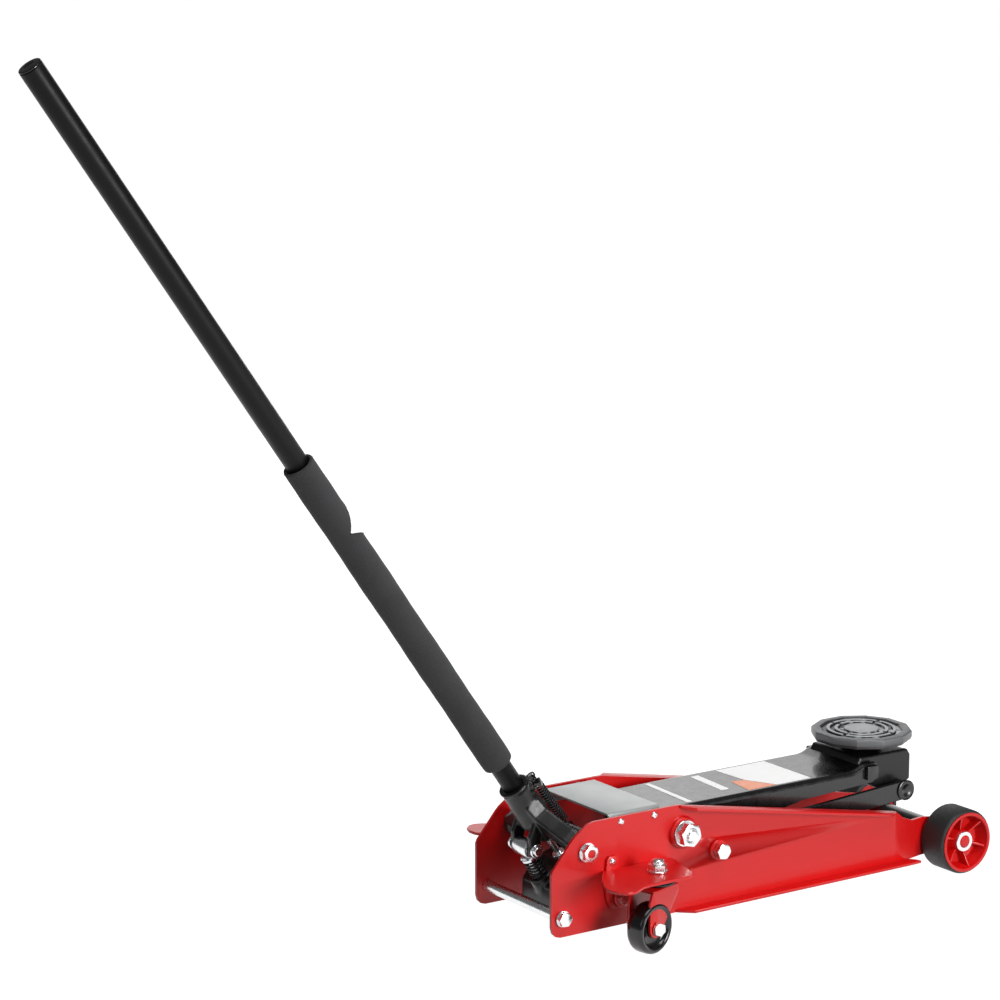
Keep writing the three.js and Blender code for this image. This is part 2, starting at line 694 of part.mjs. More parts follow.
// ---- handle: lower tube with drive cup, upper tube, foam sleeve, end cap ----
const cup = arc(0, 0, 8.2, 10, 90, 5).map(([r, h]) => [Math.max(r, 0), h]);
const spigot = upperBore - gap;
const spigotEnd = tubeJoint + 50;
const lowerBore = lowerTubeRadius - lowerWall;
place(
  "lower_tube",
  onHandle(turned("z", [0, 0, 0], [
    [0, 8.2], ...cup.slice(0, -1).reverse(), [11.5, cup[0][1]], [11.5, 20], [lowerTubeRadius, 24],
    [lowerTubeRadius, tubeJoint - 1], [spigot, tubeJoint], [spigot, spigotEnd],
    [lowerBore, spigotEnd], [lowerBore, 30], [0, 30], [0, 8.2],
  ], 32)),
  tubeBlack,
);
place(
  "upper_tube",
  onHandle(turned("z", [0, 0, 0], [
    [upperBore, tubeJoint + 0.5], [upperTubeRadius, tubeJoint + 0.5], [upperTubeRadius, handleEnd - 3],
    [upperBore, handleEnd - 3], [upperBore, tubeJoint + 0.5],
  ], 32)),
  tubeBlack,
);
place(
  "foam_sleeve",
  onHandle(turned("z", [0, 0, 0], [
    [lowerTubeRadius + gap, foamStart], [foamRadius - 1.5, foamStart], [foamRadius, foamStart + 2],
    [foamRadius, foamEnd - 2], [foamRadius - 1.5, foamEnd], [upperTubeRadius + 1.2, foamEnd],
    [upperTubeRadius + gap, foamEnd - 8], [upperTubeRadius + gap, tubeJoint - 2],
    [lowerTubeRadius + gap, tubeJoint - 4], [lowerTubeRadius + gap, foamStart],
  ], 32)),
  foamGrey,
);
place(
  "handle_cap",
  onHandle(turned("z", [0, 0, 0], [
    [0, handleEnd - 22], [upperBore - 0.4, handleEnd - 22], [upperBore - 0.4, handleEnd - 2.6],
    [upperTubeRadius, handleEnd - 2.6],
    [upperTubeRadius, handleEnd - 0.8], [upperTubeRadius - 1.2, handleEnd], [0, handleEnd],
  ], 32)),
  nylonBlack,
);

// ---- ram ----
const pinRadius = 9;
const slotHalf = pinRadius + 1.9; // the lever pin rises and falls in the ram head's slot
const slotRise = 9;
const slotDrop = 11;
const headHalf = 17;
const ramHead = cut(
  box(leverPin[0] - headHalf - 2, leverPin[0] + headHalf, -headHalf, headHalf, ramZ - 24, ramZ + 24),
  joined(
    barY([leverPin[0], ramZ + slotRise], slotHalf, -30, 30),
    barY([leverPin[0], ramZ - slotDrop], slotHalf, -30, 30),
    box(leverPin[0] - slotHalf, leverPin[0] + slotHalf, -30, 30, ramZ - slotDrop, ramZ + slotRise),
  ),
);
const ramBar = rod("x", [0, 0, ramZ], ramRadius, ramStart, leverPin[0] - headHalf - 1);
place("ram", joined(ramHead, ramBar), chromeRod);

// ---- lift arm: channel with cheeks, pivot tube and lever plates ----
const armRear = mainPivot[0] - 14;
const cheekOutline = [
  ...arc(mainPivot[0], mainPivot[1], 22, 150, 300, 8), [mainPivot[0] + 94, 108],
  [frontPivot[0] - 116, 130], ...arc(frontPivot[0], frontPivot[1], 15, -90, 60, 8),
  [frontPivot[0] - 6, armTop + 8], [frontPivot[0] - 34, armTop], [armRear, armTop],
];
const armSkin = [
  [armRear, armTop], [frontPivot[0] - 34, armTop],
  [frontPivot[0] - 34, armTop - armSheet], [armRear, armTop - armSheet],
];
const leverInner = headHalf + 1;
const leverOuter = leverInner + 9;
const leverOutline = [
  ...arc(mainPivot[0], mainPivot[1], 22, -30, 150, 10),
  ...arc(leverPin[0], leverPin[1], 15, 160, 330, 10),
];
const bracketPinRadius = 9;
const liftArm = cut(
  joined(
    prism("side", cheekOutline, armHalfWidth - armSheet, armHalfWidth),
    prism("side", cheekOutline, -armHalfWidth, armSheet - armHalfWidth),
    prism("side", armSkin, -armHalfWidth, armHalfWidth),
    barY(mainPivot, shaftRadius + 6, -armHalfWidth, armHalfWidth, 32),
    prism("side", leverOutline, leverInner, leverOuter),
    prism("side", leverOutline, -leverOuter, -leverInner),
  ),
  barY(mainPivot, shaftRadius + gap, -armHalfWidth - 10, armHalfWidth + 10, 32),
  barY(frontPivot, bracketPinRadius + gap, -armHalfWidth - 10, armHalfWidth + 10, 28),
  barY(leverPin, pinRadius + gap, -leverOuter - 10, leverOuter + 10, 28),
);
place("lift_arm", liftArm, blackEnamel);
const leverPinEnd = leverOuter + 3;
const leverPinHead = barY(leverPin, pinRadius + 3, leverOuter + 0.4, leverPinEnd, 24);
place(
  "lever_pin",
  joined(barY(leverPin, pinRadius, -leverPinEnd, leverPinEnd), leverPinHead, mirrored(leverPinHead)),
  zinc,
);

// ---- saddle bracket with its two pins ----
const rodFront = [frontPivot[0] + rodPivot[0] - mainPivot[0], frontPivot[1] + rodPivot[1] - mainPivot[1]];
const bracketHalf = armHalfWidth - armSheet - 4;
const wall = 8;
const bracketRear = saddleX - 50;
const bracketFront = saddleX + 46;
const bracketTop = saddleTop - 24;
const bracketFloor = bracketTop - 10;
const saddleStem = 15;
const frontPinRadius = 8;
const bracketSide = [
  [bracketRear + 6, bracketTop], [bracketRear, bracketFloor], [bracketRear, 142], [bracketRear + 10, 134],
  [saddleX - 10, 120], [saddleX + 6, 104], ...arc(rodFront[0], rodFront[1], 15, -130, 10, 6),
  [bracketFront, 128], [bracketFront, bracketFloor], [bracketFront - 6, bracketTop],
];
const bracketDeck = [
  [bracketRear + 6, bracketTop], [bracketRear, bracketFloor], [bracketRear, bracketFloor - 6],
  [bracketRear + 14, bracketFloor], [bracketFront - 6, bracketFloor], [bracketFront - 6, bracketTop],
];
let bracket = joined(
  prism("side", bracketSide, bracketHalf - wall, bracketHalf),
  prism("side", bracketSide, -bracketHalf, wall - bracketHalf),
  prism("side", bracketDeck, -bracketHalf, bracketHalf),
  box(bracketFront - wall, bracketFront, -bracketHalf, bracketHalf, 126, bracketFloor + 1),
  rod("z", [saddleX, 0, 0], 26, 138, saddleTop - 17.8, 36),
  box(saddleX - 3, saddleX + 3, -bracketHalf + 2, bracketHalf - 2, 146, bracketFloor + 2),
);
bracket = cut(
  bracket,
  rod("z", [saddleX, 0, 0], saddleStem + gap, 120, 190, 32),
  barY(frontPivot, bracketPinRadius + gap, -armHalfWidth, armHalfWidth),
  barY(rodFront, frontPinRadius + gap, -armHalfWidth, armHalfWidth),
);
place("saddle_bracket", bracket, blackIron);
const bracketPinHead = barY(frontPivot, bracketPinRadius + 3.5, armHalfWidth + gap, armHalfWidth + 6);
place(
  "bracket_pin",
  joined(
    barY(frontPivot, bracketPinRadius, -armHalfWidth - 4, armHalfWidth + 4),
    bracketPinHead,
    mirrored(bracketPinHead),
  ),
  blackEnamel,
);
const frontPinStep = barY(rodFront, frontPinRadius + 3, bracketHalf + gap, rodInner - gap);
const frontPinHead = barY(rodFront, frontPinRadius + 6, rodOuter + gap, rodOuter + 2.7);
place(
  "rod_front_pin",
  joined(
    barY(rodFront, frontPinRadius, -rodOuter - 1.5, rodOuter + 1.5),
    frontPinStep,
    mirrored(frontPinStep),
    frontPinHead,
    mirrored(frontPinHead),
  ),
  blackEnamel,
);

// ---- radius rods ----
const rodLength = Math.hypot(rodFront[0] - rodPivot[0], rodFront[1] - rodPivot[1]);
const rodRise = Math.atan2(rodFront[1] - rodPivot[1], rodFront[0] - rodPivot[0]);
const rodBar = moved(
  prism("side", [...arc(0, 0, 13, 90, 270, 10), ...arc(rodLength, 0, 13, -90, 90, 10)], rodInner, rodOuter),
  new THREE.Matrix4().makeTranslation(rodPivot[0], 0, rodPivot[1]).multiply(
    new THREE.Matrix4().makeRotationY(-rodRise),
  ),
);
placePair(
  "radius_rod",
  cut(
    rodBar,
    barY(rodPivot, rodBoltRadius + gap, rodInner - 5, rodOuter + 5, 24),
    barY(rodFront, frontPinRadius + gap, rodInner - 5, rodOuter + 5, 24),
  ),
  blackEnamel,
);

// ---- saddle: twelve-sided dish with ring ridges on a swivel stem ----
const saddleSeat = saddleTop - 17; // rests on the bracket's boss
const saddleFoot = 138;
const saddleDisc = turned("z", [saddleX, 0, 0], [
  [0, saddleFoot + 2], [saddleStem, saddleFoot + 2], [saddleStem, saddleSeat], [30, saddleSeat],
  [40, saddleTop - 12], [saddleRadius - 2, saddleTop - 10], [saddleRadius, saddleTop - 8],
  [saddleRadius, saddleTop - 1.5], [saddleRadius - 2, saddleTop], [saddleRadius - 13, saddleTop],
  [saddleRadius - 15, saddleTop - 2.5], [0, saddleTop - 2.5],
], 12);
const saddleSpin = new THREE.Matrix4()
  .makeTranslation(saddleX, 0, 0)
  .multiply(new THREE.Matrix4().makeRotationZ(rad(15)))
  .multiply(new THREE.Matrix4().makeTranslation(-saddleX, 0, 0));
const ridge = (r0, r1) => turned("z", [saddleX, 0, 0], [
  [r0, saddleTop - 3], [r1, saddleTop - 3], [r1, saddleTop], [r0, saddleTop], [r0, saddleTop - 3],
], 32);
const stem = rod("z", [saddleX, 0, 0], saddleStem, saddleFoot, saddleTop - 14, 32);
const saddleBreaks = [0, 90].map((a) => moved(
  box(-saddleRadius * 0.75, saddleRadius * 0.75, -3, 3, saddleTop - 2.4, saddleTop + 2),
  new THREE.Matrix4().makeTranslation(saddleX, 0, 0).multiply(new THREE.Matrix4().makeRotationZ(rad(a))),
));
const ridges = cut(joined(ridge(43, 48), ridge(32, 37)), ...saddleBreaks);
const saddleHollow = rod("z", [saddleX, 0, 0], 40, saddleFoot - 8, saddleSeat - 0.1, 32);
place(
  "saddle",
  joined(
    moved(saddleDisc, saddleSpin).subtract(saddleHollow),
    stem,
    ridges,
    rod("z", [saddleX, 0, 0], 24, saddleTop - 3, saddleTop, 32),
  ),
  blackIron,
);

// ---- caster mounts: outreaching plate folded down against the side plate ----
const mountTop = mountZ + mountSheet;
const mountRear = casterX - 55;
const mountFront = casterX + 47;
const mountPlate = prism("flat", [
  [mountRear, plateOuter + gap], [casterX - 97, casterY + 19], [casterX - 93, casterY + 39],
  [casterX - 79, casterY + 51], [casterX - 69, casterY + 51], [casterX - 51, casterY + 38],
  [casterX + 23, casterY + 38], [casterX + 33, casterY + 31], [mountFront, plateOuter + gap],
], mountZ, mountTop);
const mountFold = prism("side", [
  [mountRear, mountTop], [mountFront, mountTop], [mountFront - 12, mountZ - 12],
  [casterX - 11, mountZ - 48], [mountRear + 12, mountZ - 48], [mountRear + 4, mountZ - 36],
  [mountRear, mountZ - 12],
], plateOuter + gap, plateOuter + gap + mountSheet);
const mountTab = prism("side", [
  [mountRear + 2, mountTop - 1], [mountRear + 24, mountTop - 1],
  [mountRear + 22, mountTop + 18], [mountRear + 4, mountTop + 18],
], plateOuter + gap, plateOuter + gap + mountSheet);
const kingpinRadius = 7;
const mount = cut(
  joined(mountPlate, mountFold, mountTab),
  rod("z", [casterX, casterY, 0], kingpinRadius + gap, mountZ - 16, mountTop + 20, 24),
  barY(unitBolt, unitBoss + 2 * gap, plateInner, plateOuter + 34, 24),
);
placePair("caster_mount", mount, redEnamel);

function hexZ(x, y, acrossFlats, z0, z1) {
  return prism("flat", arc(x, y, acrossFlats / Math.sqrt(3), 10, 310, 5), z0, z1);
}
const bearingTop = mountZ - gap;
const forkTop = bearingTop - 11 - gap;
const forkSheet = 4;
const kingpinFoot = 2 * casterRadius + 4;
placePair(
  "kingpin",
  joined(
    rod("z", [casterX, casterY, 0], kingpinRadius, kingpinFoot, mountTop + 1, 24),
    rod("z", [casterX, casterY, 0], 13.5, mountTop + gap, mountTop + 3, 28),
    hexZ(casterX, casterY, 22, mountTop + 2.6, mountTop + 11),
    turned("z", [casterX, casterY, 0], [
      [0, mountTop + 10], [8.5, mountTop + 10], [8, mountTop + 14.5], [5, mountTop + 17],
      [0, mountTop + 17.6],
    ], 24),
    rod("z", [casterX, casterY, 0], kingpinRadius + 3, kingpinFoot, forkTop - forkSheet - 1, 24),
  ),
  zinc,
);

// ---- casters, built on the kingpin axis and swivelled to rest ----
const legInner = casterHalfWidth + 2;
const legOuter = legInner + forkSheet;
const casterBoltRadius = 5;
const casterAxle = [-casterTrail, casterRadius];
const legOutline = [
  [20, forkTop], [20, forkTop - 9], ...arc(casterAxle[0], casterAxle[1], 12, -35, -180, 8),
  [-38, forkTop - 14], [-32, forkTop],
];
const fork = cut(
  joined(
    box(-32, 20, -legOuter, legOuter, forkTop - forkSheet, forkTop),
    prism("side", legOutline, legInner, legOuter),
    prism("side", legOutline, -legOuter, -legInner),
  ),
  rod("z", [0, 0, 0], kingpinRadius + gap, forkTop - 24, forkTop + 16, 24),
  barY(casterAxle, casterBoltRadius + gap, -40, 40, 20),
);
const bearing = turned("z", [0, 0, 0], [
  [kingpinRadius + gap, forkTop + gap], [20, forkTop + gap], [23, forkTop + 2.5], [23, bearingTop - 2.5],
  [20, bearingTop], [kingpinRadius + gap, bearingTop], [kingpinRadius + gap, forkTop + gap],
], 32);
const casterHub = casterHalfWidth + 1.2;
const casterWeb = casterHalfWidth - 4;
const casterWheel = turned("y", [casterAxle[0], 0, casterAxle[1]], [
  [casterBoltRadius + gap, -casterHub], [12, -casterHub], [13, -casterWeb],
  [casterRadius - 10.5, -casterWeb], [casterRadius - 8.5, 2 - casterHalfWidth],
  [casterRadius - 5.5, -casterHalfWidth], [casterRadius - 2, 1.5 - casterHalfWidth],
  [casterRadius, 5 - casterHalfWidth], [casterRadius, casterHalfWidth - 5],
  [casterRadius - 2, casterHalfWidth - 1.5], [casterRadius - 5.5, casterHalfWidth],
  [casterRadius - 8.5, casterHalfWidth - 2], [casterRadius - 10.5, casterWeb], [13, casterWeb],
  [12, casterHub], [casterBoltRadius + gap, casterHub], [casterBoltRadius + gap, -casterHub],
], 40);
const casterBolt = joined(
  barY(casterAxle, casterBoltRadius, -legOuter - 1, legOuter + 1, 20),
  hexY(casterAxle, 16, legOuter + gap, legOuter + 7),
  hexY(casterAxle, 16, -legOuter - 7, -legOuter - gap),
);
const casterRest = new THREE.Matrix4()
  .makeTranslation(casterX, casterY, 0)
  .multiply(new THREE.Matrix4().makeRotationZ(rad(-casterYaw)));
placePair("caster_fork", moved(fork, casterRest), redEnamel);
placePair("caster_bearing", moved(bearing, casterRest), blackIron);
placePair("caster_wheel", moved(casterWheel, casterRest), nylonBlack);
placePair("caster_bolt", moved(casterBolt, casterRest), zinc);

// Origin at the centre of the footprint, on the floor.
const bounds = new THREE.Box3().setFromObject(group);
group.position.set(-(bounds.min.x + bounds.max.x) / 2, 0, -bounds.min.z);

export default group;
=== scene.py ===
# Hydraulic floor jack: the fine meshes and finishes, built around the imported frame, in metres.
import bpy
import json
import math
from mathutils import Matrix, Vector


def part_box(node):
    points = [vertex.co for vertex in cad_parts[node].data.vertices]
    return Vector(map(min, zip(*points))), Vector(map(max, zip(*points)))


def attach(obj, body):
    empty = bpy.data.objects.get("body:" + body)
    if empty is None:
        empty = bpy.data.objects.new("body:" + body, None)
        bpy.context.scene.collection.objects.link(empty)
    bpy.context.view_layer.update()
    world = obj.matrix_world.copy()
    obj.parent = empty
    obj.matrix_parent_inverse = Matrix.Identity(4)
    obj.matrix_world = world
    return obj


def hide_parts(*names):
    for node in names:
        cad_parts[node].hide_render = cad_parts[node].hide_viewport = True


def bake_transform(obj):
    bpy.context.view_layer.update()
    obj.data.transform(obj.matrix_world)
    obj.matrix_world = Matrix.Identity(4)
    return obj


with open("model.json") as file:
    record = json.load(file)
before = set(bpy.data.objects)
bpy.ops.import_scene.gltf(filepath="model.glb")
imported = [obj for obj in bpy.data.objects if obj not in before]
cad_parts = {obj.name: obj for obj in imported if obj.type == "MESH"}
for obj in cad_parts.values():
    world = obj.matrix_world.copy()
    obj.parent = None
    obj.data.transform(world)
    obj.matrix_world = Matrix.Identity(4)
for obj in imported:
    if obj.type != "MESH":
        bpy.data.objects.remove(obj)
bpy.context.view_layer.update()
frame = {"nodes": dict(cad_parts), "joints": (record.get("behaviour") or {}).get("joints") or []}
joints = {j["name"]: j for j in frame["joints"]}
mm = 0.001
quarter = math.pi / 2
print("frame loaded:", len(frame["nodes"]), "nodes")


# places read from the frame; lengths below are in mm from the plates' rear edge, centre line and floor
def middleOf(node):
    low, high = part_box(node)
    return (low + high) / 2


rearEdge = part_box("side_plate_left")[0].x


def spot(x, y, z):
    return Vector((rearEdge + x * mm, y * mm, z * mm))


def pivotOf(joint, y=0):
    point = Vector(joints[joint]["pos_m"])
    return Vector((point.x, y * mm, point.z))


acrossY = Vector((0, 1, 0))
upZ = Vector((0, 0, 1))
alongX = Vector((1, 0, 0))
handleUp = Vector(joints["handle_twist"]["axis"]).normalized()
handleFront = Vector((handleUp.z, 0, -handleUp.x))
yokeAt = pivotOf("handle_pump")


def onHandle(x, y, t):
    return yokeAt + handleFront * x * mm + acrossY * y * mm + handleUp * t * mm


# camera first
view = {"eye": (-2.380744, -3.421131, 1.389135), "aim": (-0.04367, 0, 0.5777), "lens": 121.62}
bpy.ops.object.select_all(action="DESELECT")
bpy.ops.object.camera_add(location=view["eye"])
camera = bpy.context.object
camera.rotation_euler = (Vector(view["aim"]) - Vector(view["eye"])).to_track_quat("-Z", "Y").to_euler()
camera.data.lens = view["lens"]
camera.data.clip_end = 60
bpy.context.scene.camera = camera
print("camera set")


# nodes and finishes
def linear(code):
    parts = [int(code[i:i + 2], 16) / 255 for i in (1, 3, 5)]
    return [p / 12.92 if p < 0.04045 else ((p + 0.055) / 1.055) ** 2.4 for p in parts] + [1]


def addNode(tree, kind, settings, inputs):
    node = tree.nodes.new(kind)
    for key, value in settings.items():
        setattr(node, key, value)
    for key, value in inputs.items():
        if isinstance(value, bpy.types.NodeSocket):
            tree.links.new(value, node.inputs[key])
        else:
            node.inputs[key].default_value = value
    return node


def perMetre(sizeMm):
    return 1000 / sizeMm  # a texture's scale for a pattern of that size


def newFinish(name, constants):
    material = bpy.data.materials.new(name)
    material.use_nodes = True
    tree = material.node_tree
    tree.nodes.clear()
    shader = addNode(tree, "ShaderNodeBsdfPrincipled", {}, constants)
    addNode(tree, "ShaderNodeOutputMaterial", {}, {"Surface": shader.outputs[0]})
    place = addNode(tree, "ShaderNodeTexCoord", {}, {}).outputs["Object"]
    return material, tree, shader, place


# Two tones mixed by a broad noise, roughness by a second one, relief by a fine one.
def mottledFinish(name, look, constants):
    material, tree, shader, place = newFinish(name, constants)
    tone = addNode(tree, "ShaderNodeTexNoise", {}, {
        "Vector": place, "Scale": perMetre(look["toneMm"]), "Detail": 3})
    colour = addNode(tree, "ShaderNodeMix", {"data_type": "RGBA"}, {
        0: tone.outputs[0], 6: linear(look["dark"]), 7: linear(look["light"])})
    rub = addNode(tree, "ShaderNodeTexNoise", {}, {
        "Vector": place, "Scale": perMetre(look["rubMm"]), "Detail": 4, "Roughness": 0.6})
    rough = addNode(tree, "ShaderNodeMapRange", {}, {
        "Value": rub.outputs[0], "From Min": 0.3, "From Max": 0.7,
        "To Min": look["smooth"], "To Max": look["rough"]})
    grain = addNode(tree, "ShaderNodeTexNoise", {}, {
        "Vector": place, "Scale": perMetre(look["grainMm"]), "Detail": 2})
    relief = addNode(tree, "ShaderNodeBump", {}, {
        "Height": grain.outputs[0], "Strength": look["relief"], "Distance": look["depthMm"] * mm})
    tree.links.new(colour.outputs[2], shader.inputs["Base Color"])
    tree.links.new(rough.outputs[0], shader.inputs["Roughness"])
    tree.links.new(relief.outputs[0], shader.inputs["Normal"])
    return material


# Sprayed gloss enamel on pressed steel: faint orange peel, a clear wet shine.
redEnamel = mottledFinish("red_gloss_enamel", {
    "dark": "#c80709", "light": "#d60b0c", "toneMm": 160, "rubMm": 50, "smooth": 0.32, "rough": 0.4,
    "grainMm": 2.6, "relief": 0.05, "depthMm": 0.04,
}, {"Specular IOR Level": 0.4, "Coat Weight": 0.12, "Coat Roughness": 0.12})

# The same enamel in black, on the lift arm and rods: a deep mirror that pales at low angles.
blackEnamel = mottledFinish("black_gloss_enamel", {
    "dark": "#060607", "light": "#0c0c0d", "toneMm": 60, "rubMm": 14, "smooth": 0.22, "rough": 0.32,
    "grainMm": 2.4, "relief": 0.06, "depthMm": 0.05,
}, {"Specular IOR Level": 0.45, "Coat Weight": 0.4, "Coat Roughness": 0.08})

# Painted sand-cast iron: the mould's grit shows through the paint.
castIron = mottledFinish("painted_cast_iron", {
    "dark": "#080809", "light": "#111112", "toneMm": 24, "rubMm": 6, "smooth": 0.28, "rough": 0.42,
    "grainMm": 2.4, "relief": 0.35, "depthMm": 0.25,
}, {"Specular IOR Level": 0.35, "Coat Weight": 0.15, "Coat Roughness": 0.15})

# Silver-grey hammer enamel on the folded cover: pale, even, softly shining.
silverEnamel = mottledFinish("silver_grey_enamel", {
    "dark": "#9fa4a3", "light": "#abb0af", "toneMm": 60, "rubMm": 25, "smooth": 0.34, "rough": 0.42,
    "grainMm": 1.4, "relief": 0.06, "depthMm": 0.03,
}, {"Metallic": 0.2, "Coat Weight": 0.15, "Coat Roughness": 0.2})

# Bright zinc plate on fasteners: cool metal, clouded where the plating bath left it dull.
zincPlate = mottledFinish("bright_zinc_plate", {
    "dark": "#d4d7da", "light": "#f6f8f9", "toneMm": 5, "rubMm": 3, "smooth": 0.16, "rough": 0.34,
    "grainMm": 0.9, "relief": 0.12, "depthMm": 0.03,
}, {"Metallic": 1.0})

# Ground and hard-chromed rod: the cleanest shine on the tool.
chromeRod = mottledFinish("hard_chrome_rod", {
    "dark": "#c9ccd0", "light": "#e6e8ea", "toneMm": 12, "rubMm": 6, "smooth": 0.06, "rough": 0.16,
    "grainMm": 1.2, "relief": 0.04, "depthMm": 0.02,
}, {"Metallic": 1.0})

# Satin powder coat on the drawn tube: fine even pimpling, no mirror.
tubeCoat = mottledFinish("satin_black_powder_coat", {
    "dark": "#050506", "light": "#0a0a0b", "toneMm": 80, "rubMm": 12, "smooth": 0.34, "rough": 0.46,
    "grainMm": 1.1, "relief": 0.2, "depthMm": 0.06,
}, {"Specular IOR Level": 0.16})

# Moulded nylon wheel and caps: near-black with tight highlights.
mouldedNylon = mottledFinish("moulded_black_nylon", {
    "dark": "#0a0a0b", "light": "#121213", "toneMm": 30, "rubMm": 8, "smooth": 0.14, "rough": 0.26,
    "grainMm": 1.3, "relief": 0.08, "depthMm": 0.04,
}, {"IOR": 1.53})

# Rolled rubber tread: dull, with a dusting of wear.
tyreRubber = mottledFinish("solid_tyre_rubber", {
    "dark": "#121213", "light": "#232324", "toneMm": 9, "rubMm": 4, "smooth": 0.5, "rough": 0.72,
    "grainMm": 1.0, "relief": 0.4, "depthMm": 0.12,
}, {"IOR": 1.52})

# Oil-blackened spring wire.
springSteel = mottledFinish("oil_blackened_spring_steel", {
    "dark": "#17181a", "light": "#2b2c2f", "toneMm": 6, "rubMm": 3, "smooth": 0.25, "rough": 0.42,
    "grainMm": 0.8, "relief": 0.15, "depthMm": 0.03,
}, {"Metallic": 0.7})

# Blank vinyl labels laid on the arm.
whiteVinyl = mottledFinish("white_vinyl_label", {
    "dark": "#fafaf8", "light": "#ffffff", "toneMm": 30, "rubMm": 8, "smooth": 0.28, "rough": 0.4,
    "grainMm": 1.5, "relief": 0.05, "depthMm": 0.02,
}, {"IOR": 1.5})
orangeVinyl = mottledFinish("orange_vinyl_label", {
    "dark": "#ee7a3c", "light": "#f58e53", "toneMm": 30, "rubMm": 8, "smooth": 0.28, "rough": 0.4,
    "grainMm": 1.5, "relief": 0.05, "depthMm": 0.02,
}, {"IOR": 1.5})


# Closed-cell foam: small pores between paler cell walls, and a soft bloom at the edges.
def foamFinish():
    look = {"cellMm": 1.1, "pit": "#161617", "wall": "#2e2f30", "depthMm": 0.35}
    material, tree, shader, place = newFinish("nitrile_foam", {
        "Roughness": 0.93, "Sheen Weight": 0.12, "Sheen Roughness": 0.5})
    cells = addNode(tree, "ShaderNodeTexVoronoi", {}, {
        "Vector": place, "Scale": perMetre(look["cellMm"] * 1.6)})
    drift = addNode(tree, "ShaderNodeTexNoise", {}, {"Vector": place, "Scale": perMetre(35), "Detail": 3})
    shade = addNode(tree, "ShaderNodeMath", {"operation": "MULTIPLY_ADD"}, {
        0: cells.outputs["Distance"], 1: 0.6, 2: drift.outputs[0]})
    colour = addNode(tree, "ShaderNodeMix", {"data_type": "RGBA"}, {
        0: shade.outputs[0], 6: linear(look["pit"]), 7: linear(look["wall"])})
    relief = addNode(tree, "ShaderNodeBump", {}, {
        "Height": cells.outputs["Distance"], "Strength": 0.5, "Distance": look["depthMm"] * mm})
    tree.links.new(colour.outputs[2], shader.inputs["Base Color"])
    tree.links.new(relief.outputs[0], shader.inputs["Normal"])
    return material


# Saddle iron: painted shade darkens the grooves, wear leaves the lands on the rim, rings and pad paler, and
# a painted highlight with edge wear makes them brightest at their edges.
def saddleFinish():
    # deep is the painted shade colour of the grooves, face the lands, edge the painted highlight and wear
    # of the sharp edges
    look = {"deep": "#101112", "face": "#47494b", "edge": "#a9acaf", "groove": 191.2, "land": 193.4}
    material, tree, shader, place = newFinish("saddle_iron_painted_shade_and_highlight", {"Metallic": 0.25})
    patch = addNode(tree, "ShaderNodeTexNoise", {}, {"Vector": place, "Scale": perMetre(14), "Detail": 5})
    height = addNode(tree, "ShaderNodeSeparateXYZ", {}, {0: place}).outputs["Z"]
    # Height mask: painted shade darkens the low grooves, and the raised lands stay paler with wear.
    grooveShadeAndWear = addNode(tree, "ShaderNodeMapRange", {}, {
        "Value": height, "From Min": look["groove"] * mm, "From Max": look["land"] * mm,
        "To Min": 0.05, "To Max": 0.8})
    patchyToneAndGrooveShade = addNode(tree, "ShaderNodeMath", {"operation": "MULTIPLY_ADD"}, {
        0: patch.outputs[0], 1: 0.25, 2: grooveShadeAndWear.outputs[0]})
    base = addNode(tree, "ShaderNodeMix", {"data_type": "RGBA"}, {
        0: patchyToneAndGrooveShade.outputs[0], 6: linear(look["deep"]), 7: linear(look["face"])})
    # Pointiness mask: a painted highlight, together with edge wear, lightens the sharp edges.
    sharp = addNode(tree, "ShaderNodeNewGeometry", {}, {}).outputs["Pointiness"]
    edgeHighlightAndWear = addNode(tree, "ShaderNodeMapRange", {}, {"Value": sharp, "From Min": 0.51, "From Max": 0.58})
    colour = addNode(tree, "ShaderNodeMix", {"data_type": "RGBA"}, {
        0: edgeHighlightAndWear.outputs[0], 6: base.outputs[2], 7: linear(look["edge"])})
    grit = addNode(tree, "ShaderNodeTexNoise", {}, {"Vector": place, "Scale": perMetre(1.4), "Detail": 3})
    rough = addNode(tree, "ShaderNodeMapRange", {}, {
        "Value": patch.outputs[0], "To Min": 0.3, "To Max": 0.5})
    relief = addNode(tree, "ShaderNodeBump", {}, {
        "Height": grit.outputs[0], "Strength": 0.35, "Distance": 0.15 * mm})
    tree.links.new(colour.outputs[2], shader.inputs["Base Color"])
    tree.links.new(rough.outputs[0], shader.inputs["Roughness"])
    tree.links.new(relief.outputs[0], shader.inputs["Normal"])
    return material


foamCells = foamFinish()
saddleIron = saddleFinish()
print("finishes made")


# modelling steps used by every piece
def onlyThis(piece):
    bpy.ops.object.select_all(action="DESELECT")
    piece.select_set(True)
    bpy.context.view_layer.objects.active = piece


# A plane merged to one vertex, left in edit mode to be drawn out.
def startPoint(name, at):
    bpy.ops.object.select_all(action="DESELECT")
    bpy.ops.mesh.primitive_plane_add(size=mm, location=at)
    piece = bpy.context.object
    piece.name = name
    bpy.ops.object.transform_apply(location=True, rotation=True, scale=True)
    bpy.ops.object.mode_set(mode="EDIT")
    bpy.ops.mesh.select_all(action="SELECT")
    bpy.ops.mesh.merge(type="CENTER")
    return piece


def drawThrough(points):
    for a, b in zip(points, points[1:]):
        bpy.ops.mesh.extrude_vertices_move(TRANSFORM_OT_translate={"value": b - a})


